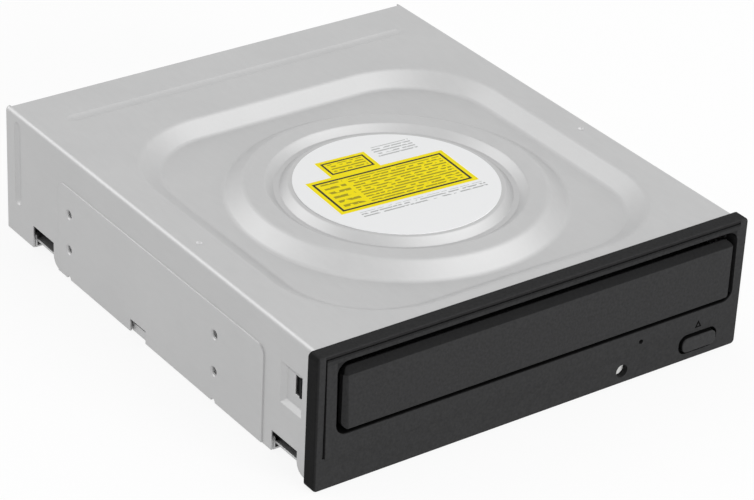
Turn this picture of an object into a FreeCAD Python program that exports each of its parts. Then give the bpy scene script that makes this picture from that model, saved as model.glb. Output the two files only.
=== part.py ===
import FreeCAD, Part
import math
import os
import Sketcher

V = FreeCAD.Vector
doc = FreeCAD.newDocument("dvd_writer")

# Driving sizes in millimetres. A setback runs back from the bezel's rear face, an inset forward from the
# rear wall, and a side inwards from the wall or edge outside it.
SIZES = {
    # outside
    "overall_depth": 169.2,
    "bezel_depth": 5.2,
    "bezel_overhang": 1.5,
    "bezel_height": 42.0,
    "bezel_corner": 1.4,
    "bezel_edge": 0.7,
    "case_width": 146.0,
    "case_height": 41.3,
    "case_base": 0.35,
    "sheet": 0.6,
    "bend": 1.3,
    "play": 0.3,
    # formed top of the cover
    "pan_side": 11.0,
    "pan_front_setback": 4.2,
    "pan_rear_setback": 128.8,
    "pan_corner": 33.0,
    "pan_depth": 3.8,
    "pan_run": 6.2,
    "hub_setback": 64.4,
    "plateau_side": 5.6,
    "plateau_front": 3.8,
    "plateau_run": 6.0,
    "plateau_land": 6.0,
    "groove_outer_run": 2.6,
    "groove_floor": 1.6,
    "groove_inner_run": 2.4,
    "groove_depth": 2.0,
    "label_edge": 1.3,
    "label_thick": 0.12,
    "form_round": 3.0,
    "bead_offset": 0.6,
    "bead_side": 13.8,
    "bead_radius": 2.4,
    "bead_depth": 0.9,
    "rear_bead_radius": 5.5,
    "rear_bead_depth": 0.42,
    "dimple_radius": 1.3,
    "dimple_depth": 0.5,
    "dimple_side": 5.2,
    "dimple_setback": 63.9,
    # cover side walls
    "panel_step": 0.3,
    "panel_front_setback": 23.0,
    "panel_rear_inset": 31.0,
    "panel_top": 31.0,
    "panel_corner": 3.0,
    "side_bead_inset": 6.6,
    "side_bead_low": 12.8,
    "side_bead_high": 37.1,
    "hole_setback": 47.4,
    "hole_pitch": 79.25,
    "hole_low": 10.0,
    "hole_rise": 11.84,
    "hole_radius": 1.25,
    "collar_radius": 2.1,
    "collar_reach": 1.0,
    "notch_front_low": 6.2,
    "notch_front_high": 18.5,
    "notch_front_top": 7.0,
    "notch_mid_low": 83.3,
    "notch_mid_high": 91.8,
    "notch_mid_top": 4.6,
    "notch_rear_inset": 15.5,
    "notch_rear_length": 12.2,
    "notch_rear_top": 8.0,
    "notch_round": 3.6,
    "foot_mark": 1.0,
    "latch_pan_low": 4.7,
    "latch_pan_high": 15.0,
    "latch_pan_bottom": 18.0,
    "latch_pan_top": 31.0,
    "latch_pan_depth": 1.1,
    "latch_pan_slope": 1.6,
    "window_low": 5.5,
    "window_high": 9.4,
    "window_bottom": 23.2,
    "window_top": 29.2,
    "back_side": 1.3,
    "back_bottom": 13.0,
    "back_low": 5.2,
    # bottom cover
    "floor_gap": 0.2,
    "flange_top": 4.6,
    "tab_level": 2.7,
    "tab_width": 4.6,
    "mid_flange": 3.0,
    "bottom_hole_side": 3.15,
    "dish_depth": 1.2,
    "dish_top": 3.3,
    "dish_mouth": 4.6,
    "cover_screw_side": 11.0,
    "cover_screw_front": 32.0,
    "cover_screw_inset": 12.0,
    "cover_screw_shank": 1.25,
    "cover_screw_head": 2.7,
    # bezel front
    "bezel_wall": 2.5,
    "wedge_side": 3.0,
    "wedge_low": 10.2,
    "wedge_high": 40.2,
    "wedge_rise": 0.6,
    "panel_groove": 0.5,
    "panel_groove_top": 41.2,
    "mouth_left": 6.3,
    "mouth_right": 3.7,
    "mouth_bottom": 16.2,
    "mouth_top": 38.9,
    "mouth_corner": 3.6,
    "bezel_skin": 2.0,
    "light_side": 43.0,
    "light_z": 4.3,
    "light_radius": 2.05,
    "light_recess": 1.9,
    "pinhole_side": 37.3,
    "pinhole_z": 12.5,
    "pinhole_radius": 0.75,
    "button_side": 14.9,
    "button_z": 5.65,
    "button_width": 12.6,
    "button_height": 4.7,
    "button_corner": 2.0,
    "button_proud": 0.9,
    "button_travel": 1.0,
    "button_gap": 0.85,
    "latch_reach": 11.0,
    "latch_thick": 1.2,
    # tray door
    "door_left_gap": 2.4,
    "door_right_gap": 1.2,
    "door_bottom": 17.2,
    "door_top": 35.9,
    "door_corner": 2.4,
    "door_thick": 2.6,
    "door_chamfer": 1.8,
    "door_fallback": 2.0,
    "door_left_chamfer": 1.7,
    "door_left_fallback": 1.2,
    "door_right_chamfer": 0.6,
    # disc tray
    "tray_travel": 132.0,
    "rail_gap": 0.7,
    "rail_thick": 3.0,
    "tray_rear_inset": 9.0,
    "deck_top": 30.6,
    "disc_floor": 28.6,
    "small_floor": 27.8,
    "tray_under": 26.2,
    "disc_radius": 60.75,
    "small_radius": 40.75,
    "rail_bottom": 20.2,
    "rail_top": 32.0,
    "slot_half": 21.0,
    "slot_front": 19.0,
    "slot_rear": 64.5,
    "slot_front_round": 17.0,
    "slot_rear_round": 5.0,
    # main frame
    "wall_gap": 2.7,
    "wall_thick": 3.2,
    "wall_front": 12.0,
    "wall_rear_inset": 6.0,
    "wall_low": 6.0,
    "wall_high": 32.6,
    "ledge_width": 5.7,
    "ledge_low": 18.2,
    "ledge_high": 19.9,
    "shelf_front": 2.0,
    "shelf_rear": 40.6,
    "shelf_low": 12.0,
    "shelf_high": 14.0,
    "beam_depth": 7.0,
    "beam_low": 8.0,
    "pivot_inset": 16.0,
    "pivot_z": 16.0,
    "pivot_radius": 2.0,
    "post_radius": 3.2,
    # clamp
    "bracket_low": 33.6,
    "bracket_thick": 1.0,
    "bracket_half": 21.0,
    "clamper_hole": 16.0,
    "clamper_radius": 15.4,
    "clamper_flange": 18.5,
    "clamper_low": 30.9,
    "clamper_flange_thick": 1.2,
    "clamper_hollow": 9.0,
    "glue_line": 0.1,
    "magnet_inner": 9.8,
    "magnet_outer": 13.4,
    # loading drive
    "tooth_module": 0.8,
    "tray_gear_teeth": 40,
    "pinion_teeth": 14,
    "rack_side": 10.5,
    "gear_setback": 18.5,
    "gear_low": 18.2,
    "gear_high": 24.8,
    "pulley_radius": 12.5,
    "pulley_low": 14.4,
    "pulley_high": 17.8,
    "motor_x": 16.0,
    "motor_setback": 16.0,
    "motor_radius": 10.5,
    "motor_low": 1.6,
    "motor_pulley_radius": 3.2,
    "belt_thick": 1.2,
    "post_pin": 1.5,
    "cam_travel": 16.0,
    "cam_front": 41.2,
    "cam_thick": 3.0,
    "cam_low": 4.0,
    "cam_high": 19.8,
    "cam_left": 43.0,
    "cam_right": 24.0,
    "cam_slot_half": 2.0,
    # lift frame
    "lift_angle": 4.7,
    "ring_half": 52.0,
    "ring_inner": 44.0,
    "ring_front": 46.0,
    "ring_rear_inset": 16.5,
    "ring_low": 14.5,
    "ring_high": 17.0,
    "pin_left": 22.0,
    "pin_right": 16.0,
    "pin_radius": 1.5,
    "damper_x": 46.0,
    "damper_front": 52.0,
    "damper_rear_inset": 21.5,
    "damper_radius": 4.0,
    "plate_low": 18.4,
    "plate_thick": 1.2,
    "plate_half": 50.4,
    # spindle
    "rotor_radius": 13.0,
    "turntable_radius": 14.5,
    "disc_seat": 29.9,
    "cone_radius": 7.35,
    "cone_rise": 2.2,
    # pickup
    "lens_start": 23.0,
    "sled_rear_inset": 24.6,
    "rod_x": 28.0,
    "rod_z": 22.0,
    "rod_radius": 1.5,
    "sled_half": 24.0,
    "sled_low": 17.5,
    "sled_high": 25.8,
    "sled_ahead": 7.5,
    "sled_behind": 16.0,
    "screw_x": 38.0,
    "screw_z": 19.8,
    "screw_radius": 1.25,
    "sled_motor_radius": 6.0,
    "lens_radius": 2.2,
    "lens_low": 28.2,
    # electronics
    "board_screw_inset": 9.0,
    "board_low": 2.4,
    "board_thick": 1.2,
    "board_clear": 2.8,
    "plug_side": 2.0,
    "plug_width": 40.0,
    "plug_high": 11.6,
    "plug_depth": 10.0,
}

dims = doc.addObject("Spreadsheet::Sheet", "dims")
for row, alias in enumerate(SIZES, 1):
    dims.set("A%d" % row, alias)
    dims.set("B%d" % row, str(SIZES[alias]))
    dims.setAlias("B%d" % row, alias)
doc.recompute()


class Size:
    """A length of the sheet or a sum of them: its expression and its value."""

    def __init__(self, text, value):
        self.text = text
        self.value = value

    def __add__(self, other):
        return mix(self, "+", other)

    def __radd__(self, other):
        return mix(other, "+", self)

    def __sub__(self, other):
        return mix(self, "-", other)

    def __rsub__(self, other):
        return mix(other, "-", self)

    def __mul__(self, other):
        return mix(self, "*", other)

    def __rmul__(self, other):
        return mix(other, "*", self)

    def __truediv__(self, other):
        return mix(self, "/", other)

    def __neg__(self):
        return mix(0, "-", self)


def as_size(number):
    if isinstance(number, Size):
        return number
    return Size("(%.9g)" % number, float(number))


def mix(left, sign, right):
    left = as_size(left)
    right = as_size(right)
    if sign == "+":
        value = left.value + right.value
    elif sign == "-":
        value = left.value - right.value
    elif sign == "*":
        value = left.value * right.value
    else:
        value = left.value / right.value
    return Size("(%s %s %s)" % (left.text, sign, right.text), value)


def smaller(left, right):
    left = as_size(left)
    right = as_size(right)
    return Size("min(%s; %s)" % (left.text, right.text), min(left.value, right.value))


class Sheet:
    def __getattr__(self, alias):
        return Size("dims." + alias, float(SIZES[alias]))


d = Sheet()


def num(size):
    return as_size(size).value


def bind(item, prop, size):
    item.setExpression(prop, as_size(size).text)


def place(item, x, y, z):
    bind(item, "Placement.Base.x", x)
    bind(item, "Placement.Base.y", y)
    bind(item, "Placement.Base.z", z)


TURNS = {
    "X": FreeCAD.Rotation(V(0, 1, 0), 90),
    "Y": FreeCAD.Rotation(V(1, 0, 0), -90),
    "Z": FreeCAD.Rotation(),
}


def box(x, y, z):
    item = doc.addObject("Part::Box", "Block")
    bind(item, "Length", x[1] - x[0])
    bind(item, "Width", y[1] - y[0])
    bind(item, "Height", z[1] - z[0])
    place(item, x[0], y[0], z[0])
    return item


def stand(item, axis, at, low):
    """Turn a round piece to its axis and put its foot at the given place."""
    item.Placement = FreeCAD.Placement(V(), TURNS[axis])
    if axis == "X":
        place(item, low, at[0], at[1])
    elif axis == "Y":
        place(item, at[0], low, at[1])
    else:
        place(item, at[0], at[1], low)
    return item


def cyl(axis, at, span, radius):
    item = doc.addObject("Part::Cylinder", "Round")
    bind(item, "Radius", radius)
    bind(item, "Height", span[1] - span[0])
    return stand(item, axis, at, span[0])


def cone(axis, at, span, low_radius, high_radius):
    item = doc.addObject("Part::Cone", "Taper")
    bind(item, "Radius1", low_radius)
    bind(item, "Radius2", high_radius)
    bind(item, "Height", span[1] - span[0])
    return stand(item, axis, at, span[0])


def ball(x, y, z, radius):
    item = doc.addObject("Part::Sphere", "Ball")
    bind(item, "Radius", radius)
    place(item, x, y, z)
    return item


def join(*items):
    if len(items) == 1:
        return items[0]
    item = doc.addObject("Part::MultiFuse", "Joined")
    item.Shapes = list(items)
    item.Refine = True
    return item


def less(base, *tools):
    item = doc.addObject("Part::Cut", "Less")
    item.Base = base
    item.Tool = join(*tools)
    item.Refine = True
    return item


def group(*items):
    item = doc.addObject("Part::Compound", "Group")
    item.Links = list(items)
    return item


# Outlines for sketches: a circle, or a path of corners, each with the arc to the next corner if any
def circle(a, b, radius):
    return ("circle", a, b, radius)


def path(*corners):
    return ("path", corners)


def rect(a, b):
    return path((a[0], b[0]), (a[1], b[0]), (a[1], b[1]), (a[0], b[1]))


def rounded(a, b, r):
    return path(
        (a[0] + r, b[0]), (a[1] - r, b[0], r, 1),
        (a[1], b[0] + r), (a[1], b[1] - r, r, 1),
        (a[1] - r, b[1]), (a[0] + r, b[1], r, 1),
        (a[0], b[1] - r), (a[0], b[0] + r, r, 1),
    )


def fix_point(sketch, geo, pos, a, b):
    for kind, size, axis in (("DistanceX", a, -2), ("DistanceY", b, -1)):
        size = as_size(size)
        if abs(size.value) < 1e-9:
            sketch.addConstraint(Sketcher.Constraint("PointOnObject", geo, pos, axis))
            continue
        index = sketch.addConstraint(Sketcher.Constraint(kind, -1, 1, geo, pos, size.value))
        sketch.setExpression("Constraints[%d]" % index, size.text)


def fix_radius(sketch, geo, radius):
    radius = as_size(radius)
    index = sketch.addConstraint(Sketcher.Constraint("Radius", geo, radius.value))
    sketch.setExpression("Constraints[%d]" % index, radius.text)


def draw(sketch, outline):
    if outline[0] == "circle":
        a, b, radius = outline[1:]
        geo = sketch.addGeometry(Part.Circle(V(num(a), num(b), 0), V(0, 0, 1), num(radius)))
        fix_point(sketch, geo, 3, a, b)
        fix_radius(sketch, geo, radius)
        return
    corners = outline[1]
    ends = []
    for here, there in zip(corners, corners[1:] + corners[:1]):
        p = V(num(here[0]), num(here[1]), 0)
        q = V(num(there[0]), num(there[1]), 0)
        if len(here) == 2:
            geo = sketch.addGeometry(Part.LineSegment(p, q))
            ends.append((geo, 1, 2))
            continue
        radius = num(here[2])
        chord = q - p
        left = V(-chord.y, chord.x, 0).normalize()
        reach = math.sqrt(max(radius ** 2 - (chord.Length / 2) ** 2, 0.0))
        centre = (p + q) / 2 + left * reach * here[3]
        start, stop = (p, q) if here[3] > 0 else (q, p)
        first = math.atan2(start.y - centre.y, start.x - centre.x)
        last = math.atan2(stop.y - centre.y, stop.x - centre.x)
        ring = Part.Circle(centre, V(0, 0, 1), radius)
        geo = sketch.addGeometry(Part.ArcOfCircle(ring, first, last))
        ends.append((geo, 1, 2) if here[3] > 0 else (geo, 2, 1))
        fix_radius(sketch, geo, here[2])
    for corner, end in zip(corners, ends):
        fix_point(sketch, end[0], end[1], corner[0], corner[1])
    for end, following in zip(ends, ends[1:] + ends[:1]):
        sketch.addConstraint(Sketcher.Constraint("Coincident", end[0], end[2], following[0], following[1]))


class Moulding:
    """A body built from sketches: pads, pockets, turned profiles and rounded edges."""

    SIGN = {"XY": 1, "XZ": -1, "YZ": 1}

    def __init__(self, name):
        self.body = doc.addObject("PartDesign::Body", name)
        self.last = None

    def sketch(self, plane, level, outlines):
        item = self.body.newObject("Sketcher::SketchObject", "Outline")
        for feature in self.body.Origin.OriginFeatures:
            if feature.Role == plane + "_Plane":
                item.AttachmentSupport = [(feature, "")]
        item.MapMode = "FlatFace"
        bind(item, "AttachmentOffset.Base.z", self.SIGN[plane] * level)
        for outline in outlines:
            draw(item, outline)
        return item

    def pad(self, plane, span, *outlines):
        level = span[1] if plane == "XZ" else span[0]
        profile = self.sketch(plane, level, outlines)
        return self.feature("PartDesign::Pad", profile, span)

    def pocket(self, plane, span, *outlines):
        level = span[0] if plane == "XZ" else span[1]
        profile = self.sketch(plane, level, outlines)
        return self.feature("PartDesign::Pocket", profile, span)

    def feature(self, kind, profile, span):
        item = self.body.newObject(kind, "Step")
        item.Profile = profile
        bind(item, "Length", span[1] - span[0])
        self.last = item
        return self

    def turn(self, *outlines):
        profile = self.sketch("XZ", as_size(0), outlines)
        item = self.body.newObject("PartDesign::Revolution", "Turned")
        item.Profile = profile
        item.ReferenceAxis = (profile, ["V_Axis"])
        item.Angle = 360
        self.last = item
        return self

    def round(self, radius, pick):
        doc.recompute()
        names = edge_names(self.last.Shape, pick)
        item = self.body.newObject("PartDesign::Fillet", "Rounded")
        item.Base = (self.last, names)
        bind(item, "Radius", radius)
        self.last = item
        return self

    def at(self, x, y, z):
        place(self.body, x, y, z)
        return self.body


def edge_names(shape, pick):
    return ["Edge%d" % i for i, edge in enumerate(shape.Edges, 1) if pick(edge)]


def soften(base, radius, pick):
    """Round the picked edges of a finished piece."""
    doc.recompute()
    item = doc.addObject("Part::Fillet", "Softened")
    item.Base = base
    size = num(radius)
    item.Edges = [(int(name[4:]), size, size) for name in edge_names(base.Shape, pick)]
    return item


def frustum(turn, x, y, low, high):
    """A solid between two outlines at two levels. Each level is (offset along the normal, outline)."""
    sections = []
    for level, outline in (low, high):
        item = doc.addObject("Sketcher::SketchObject", "Section")
        item.Placement = FreeCAD.Placement(V(), turn)
        draw(item, outline)
        if turn.Angle < 1e-6:
            place(item, x, y, level)
        else:
            place(item, level, x, y)
        sections.append(item)
    loft = doc.addObject("Part::Loft", "Drawn")
    loft.Sections = sections
    loft.Solid = True
    loft.Ruled = True
    return loft


FLAT = FreeCAD.Rotation()
SIDE = FreeCAD.Rotation(V(1, 1, 1), 120)
NODES = {}


def node(name, item):
    item.Label = name
    NODES[name] = item
    return item


# Datum places
seat = d.bezel_depth - d.overall_depth / 2
rear = d.overall_depth / 2
face = d.wedge_rise - d.overall_depth / 2
hub = seat + d.hub_setback
top = d.case_base + d.case_height
half = d.case_width / 2
shell = half - d.panel_step
hole_front = seat + d.hole_setback
hole_rear = hole_front + d.hole_pitch
hole_levels = (d.case_base + d.hole_low, d.case_base + d.hole_low + d.hole_rise)
inside = shell - d.sheet
pan_half = half - d.pan_side
plateau_foot = smaller(pan_half - d.pan_run - d.plateau_side,
                       d.hub_setback - d.pan_front_setback - d.pan_run - d.plateau_front)
plateau_top = plateau_foot - d.plateau_run
groove_outer = plateau_top - d.plateau_land
groove_floor_outer = groove_outer - d.groove_outer_run
groove_floor_inner = groove_floor_outer - d.groove_floor
groove_inner = groove_floor_inner - d.groove_inner_run
back_half = shell - d.back_side
floor_half = inside - d.floor_gap
cover_screw_x = half - d.cover_screw_side
brim = half + d.bezel_overhang
mouth_span = (d.mouth_left - brim, brim - d.mouth_right)
door_span = (mouth_span[0] + d.door_left_gap, mouth_span[1] - d.door_right_gap)
light_x = brim - d.light_side
pinhole_x = brim - d.pinhole_side
button_x = brim - d.button_side
wall_out = inside - d.wall_gap
wall_in = wall_out - d.wall_thick
rail_half = wall_in - d.rail_gap
tray_half = rail_half - d.rail_thick
rack_line = tray_half - d.rack_side
board_half = cover_screw_x - d.post_radius - d.board_clear
plug_right = board_half - d.plug_side
plug_left = plug_right - d.plug_width
tray_back = rear - d.tray_rear_inset
pivot_y = rear - d.pivot_inset
board_screw_y = rear - d.board_screw_inset
BOARD_SCREWS = (-40.0, 6.0)
front_notch = (seat + d.notch_front_low, seat + d.notch_front_high)
rear_notch = (rear - d.notch_rear_inset - d.notch_rear_length, rear - d.notch_rear_inset)


# Top cover: a folded channel with a rear wall, then its formed top and sides
def make_top_cover():
    t = d.sheet
    foot = d.case_base + 0.15
    bend_in = d.bend - t
    body = Moulding("cover_channel")
    body.pad("XZ", (seat, rear), path(
        (-shell, foot), (-shell, top - d.bend, d.bend, -1),
        (-shell + d.bend, top), (shell - d.bend, top, d.bend, -1),
        (shell, top - d.bend), (shell, foot),
        (shell - t, foot), (shell - t, top - d.bend, bend_in, 1),
        (shell - d.bend, top - t), (-shell + d.bend, top - t, bend_in, 1),
        (-shell + t, top - d.bend), (-shell + t, foot),
    ))
    relief = back_half - 0.01
    body.pocket("XY", (top - d.bend, top), rect((-relief, relief), (rear - d.bend, rear + 1)))
    body.pad("YZ", (-back_half, back_half), path(
        (rear - d.bend - 2, top), (rear - d.bend - 2, top - t),
        (rear - d.bend, top - t, bend_in, -1), (rear - t, top - d.bend),
        (rear - t, d.back_bottom), (rear, d.back_bottom),
        (rear, top - d.bend, d.bend, 1), (rear - d.bend, top),
    ))
    body.pad("XZ", (rear - t, rear), rect((-back_half, plug_left - 3), (d.back_low, d.back_bottom + 1)))
    panel = path(
        (seat + d.panel_front_setback, foot), (rear - d.panel_rear_inset, foot),
        (rear - d.panel_rear_inset, d.panel_top - d.panel_corner, d.panel_corner, 1),
        (rear - d.panel_rear_inset - d.panel_corner, d.panel_top),
        (seat + d.panel_front_setback + d.panel_corner, d.panel_top, d.panel_corner, 1),
        (seat + d.panel_front_setback, d.panel_top - d.panel_corner),
    )
    body.pad("YZ", (-half, -shell), panel)
    body.pad("YZ", (shell, half), panel)
    body.pocket("YZ", (-half + t, -shell + t), panel)
    body.pocket("YZ", (shell - t, half - t), panel)
    cover = body.body

    # drawn pan, rear bead and two dimples, each as the pressed-in metal and the hollow over it
    pan_mid = seat + (d.pan_front_setback + d.pan_rear_setback) / 2
    pan_deep = (d.pan_rear_setback - d.pan_front_setback) / 2
    low_half = pan_half - d.pan_run
    low_deep = pan_deep - d.pan_run
    rim = rounded((-pan_half, pan_half), (-pan_deep, pan_deep), d.pan_corner)
    floor = rounded((-low_half, low_half), (-low_deep, low_deep), d.pan_corner - d.pan_run)
    bead_y = (seat + d.pan_rear_setback + rear) / 2 + d.bead_offset
    bead_half = half - d.bead_side
    dimple_x = half - d.dimple_side
    dimple_y = seat + d.dimple_setback
    side_y = rear - d.side_bead_inset
    arm_low = seat + d.latch_pan_low
    arm_high = seat + d.latch_pan_high
    slope = d.latch_pan_slope

    def pressed(drop):
        items = [frustum(FLAT, 0, pan_mid, (top - d.pan_depth - drop, floor), (top - drop, rim))]
        level = top + d.rear_bead_radius - d.rear_bead_depth - drop
        items.append(cyl("X", (bead_y, level), (-bead_half, bead_half), d.rear_bead_radius))
        punch = top + d.dimple_radius - d.dimple_depth - drop
        for side in (-1, 1):
            items.append(ball(bead_half * side, bead_y, level, d.rear_bead_radius))
            items.append(ball(dimple_x * side, dimple_y, punch, d.dimple_radius))
            x = (shell + d.bead_radius - d.bead_depth - drop) * side
            items.append(cyl("Z", (x, side_y), (d.side_bead_low, d.side_bead_high), d.bead_radius))
            items.append(ball(x, side_y, d.side_bead_low, d.bead_radius))
            items.append(ball(x, side_y, d.side_bead_high, d.bead_radius))
            wide = rect((arm_low, arm_high), (d.latch_pan_bottom, d.latch_pan_top))
            tight = rect((arm_low + slope, arm_high - slope),
                         (d.latch_pan_bottom + slope, d.latch_pan_top - slope))
            outer = ((shell - drop) * side, wide)
            inner = ((shell - d.latch_pan_depth - drop) * side, tight)
            items.append(frustum(SIDE, 0, 0, inner, outer))
        return items

    limit = join(
        box((-shell, shell), (seat, rear), (d.case_base, top)),
    )
    metal = doc.addObject("Part::MultiCommon", "Pressed")
    metal.Shapes = [join(*pressed(t)), limit]
    cover = less(join(cover, metal), *pressed(as_size(0)))

    # round plateau, then the groove around the label seat
    def plateau(drop):
        return cone("Z", (0, hub), (top - d.pan_depth - drop, top - drop), plateau_foot, plateau_top)

    def groove(drop):
        body = Moulding("groove_ring")
        body.turn(path(
            (groove_floor_inner, top - d.groove_depth), (groove_floor_outer, top - d.groove_depth),
            (groove_outer, top), (groove_inner, top),
        ))
        return body.at(0, hub, 0 - drop)

    cover = less(join(cover, plateau(as_size(0))), plateau(t))
    cover = less(join(cover, groove(t)), groove(as_size(0)))

    # threaded collars of the side holes, the latch windows and the foot notches
    reach = half - t - d.collar_reach
    collars = []
    bores = []
    for y in (hole_front, hole_rear):
        for z in hole_levels:
            collars.append(cyl("X", (y, z), (-half + 0.1, -reach), d.collar_radius))
            collars.append(cyl("X", (y, z), (reach, half - 0.1), d.collar_radius))
            bores.append(cyl("X", (y, z), (-half - 1, half + 1), d.hole_radius))
            mouth = d.hole_radius + 0.45
            bores.append(cone("X", (y, z), (-half - 0.01, -half + 0.45), mouth, d.hole_radius))
            bores.append(cone("X", (y, z), (half - 0.45, half + 0.01), d.hole_radius, mouth))
    cuts = [box((-half - 1, half + 1), (seat + d.window_low, seat + d.window_high),
                (d.window_bottom, d.window_top))]
    notches = (
        (*front_notch, d.notch_front_top),
        (seat + d.notch_mid_low, seat + d.notch_mid_high, d.notch_mid_top),
        (*rear_notch, d.notch_rear_top),
    )
    for low, high, lift in notches:
        cuts.append(box((-half - 1, half + 1), (low, high), (d.case_base - 1, lift)))
    r = d.notch_round
    for corner in (front_notch[0], rear_notch[0]):
        cuts.append(less(
            box((-half - 1, half + 1), (corner - r, corner + 1), (foot - 1, foot + r)),
            cyl("X", (corner - r, foot + r), (-half - 2, half + 2), r),
        ))
    for y in (hole_front, hole_rear):
        cuts.append(cyl("X", (y, foot), (-half - 1, half + 1), d.foot_mark))
    vent = (rear - 1, rear + 1)
    for i in range(9):
        x = (i - 4) * 6.0
        cuts.append(box((x - 1, x + 1), vent, (d.back_bottom + 8, d.back_bottom + 20)))
    cover = less(join(cover, *collars), *(bores + cuts))

    # rounded forming lines on the outer face
    floor_level = num(top - d.pan_depth)
    reach_x = num(pan_half) + 0.1

    def forming_line(edge):
        box_of = edge.BoundBox
        inside_pan = abs(box_of.XMin) < reach_x and abs(box_of.XMax) < reach_x
        inside_pan = inside_pan and box_of.YMin > num(seat) + num(d.pan_front_setback) - 0.1
        inside_pan = inside_pan and box_of.YMax < num(seat) + num(d.pan_rear_setback) + 0.1
        for level in (num(top), floor_level):
            if abs(box_of.ZMin - level) < 1e-4 and abs(box_of.ZMax - level) < 1e-4:
                return inside_pan and not is_groove(edge)
        return False

    def is_groove(edge):
        ring = edge.BoundBox
        centred = abs(ring.Center.x) < 0.01 and abs(ring.Center.y - num(hub)) < 0.01
        return centred and ring.XLength / 2 < num(groove_outer) + 0.1

    cover = soften(cover, d.form_round, forming_line)

    def groove_line(edge):
        middle = edge.BoundBox
        return is_groove(edge) and middle.ZMin > num(top) - 1e-4

    return soften(cover, 0.8, groove_line)


node("top_cover", make_top_cover())
node("round_label", cyl("Z", (0, hub), (top, top + d.label_thick), groove_inner - d.label_edge))


# Bottom cover: a tray of sheet with screw dishes, mounting holes and stiffening beads
def make_bottom_cover():
    t = d.sheet
    low = d.case_base
    high = low + t
    body = Moulding("floor_sheet")
    front = seat + 0.4
    back = rear - t - 0.4
    body.pad("XY", (low, high), rect((-floor_half, floor_half), (front, back)))
    flange = (seat + 3, rear - 6)
    body.pad("XY", (high, d.flange_top), rect((-floor_half, -floor_half + t), flange),
             rect((floor_half - t, floor_half), flange),
             rect((-back_half, plug_left - 2), (back - t, back)))
    root = floor_half - d.tab_width
    tip = floor_half - d.play
    for span in (front_notch, rear_notch):
        tab = (span[0] + d.play, span[1] - d.play)
        body.pocket("XY", (low - 1, d.flange_top + 1), rect((-half, -root), span), rect((root, half), span))
        tab_top = d.tab_level + t
        body.pad("XY", (high, tab_top), rect((-root, -root + t), tab), rect((root - t, root), tab))
        body.pad("XY", (d.tab_level, tab_top), rect((-tip, -root + t), tab), rect((root - t, tip), tab))
    gap = (seat + d.notch_mid_low, seat + d.notch_mid_high)
    body.pocket("XY", (d.mid_flange, d.flange_top + 1), rect((-half, -root), gap), rect((root, half), gap))
    sheet = body.body
    spots = screw_spots()
    raised = []
    hollow = []
    for x, y in spots:
        raised.append(cone("Z", (x, y), (low + t, low + t + d.dish_depth), d.dish_mouth, d.dish_top))
        hollow.append(cone("Z", (x, y), (low, low + d.dish_depth), d.dish_mouth, d.dish_top))
        hollow.append(cyl("Z", (x, y), (low, low + 4), d.cover_screw_shank + 0.15))
    for x in (-46.0, -30.0, -14.0):
        for drop, items in ((t, raised), (as_size(0), hollow)):
            level = low - d.bead_radius + d.bead_depth + drop
            items.append(cyl("Y", (x, level), (seat + 40, seat + 88), d.bead_radius))
    hole_x = half - d.bottom_hole_side
    for x in (-hole_x, hole_x):
        for y in (hole_front, hole_rear):
            hollow.append(cyl("Z", (x, y), (low - 1, low + 4), d.hole_radius))
    keep = box((-floor_half, floor_half), (front, back), (low, d.flange_top))
    metal = doc.addObject("Part::MultiCommon", "Raised")
    metal.Shapes = [join(*raised), keep]
    return less(join(sheet, metal), *hollow)


def screw_spots():
    spots = []
    for y in (seat + d.cover_screw_front, rear - d.cover_screw_inset):
        spots.append((-cover_screw_x, y))
        spots.append((cover_screw_x, y))
    return spots


def screw(x, y, head, shank, head_radius, shank_radius):
    """A round-headed screw with a cross recess. Spans run along Z, the head's free face first or last."""
    up = num(head[0]) > num(shank[0])
    face_z = head[1] if up else head[0]
    deep = 0.6
    cross = (face_z - deep, face_z + 1) if up else (face_z - 1, face_z + deep)
    arm = head_radius * 0.6
    body = join(cyl("Z", (x, y), head, head_radius), cyl("Z", (x, y), shank, shank_radius))
    return less(body, box((x - arm, x + arm), (y - 0.25, y + 0.25), cross),
                box((x - 0.25, x + 0.25), (y - arm, y + arm), cross))


node("bottom_cover", make_bottom_cover())
dish = d.case_base + d.dish_depth
node("cover_screws", group(*[
    screw(x, y, (d.case_base + 0.05, dish), (dish, dish + 8), d.cover_screw_head, d.cover_screw_shank)
    for x, y in screw_spots()
]))


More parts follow.
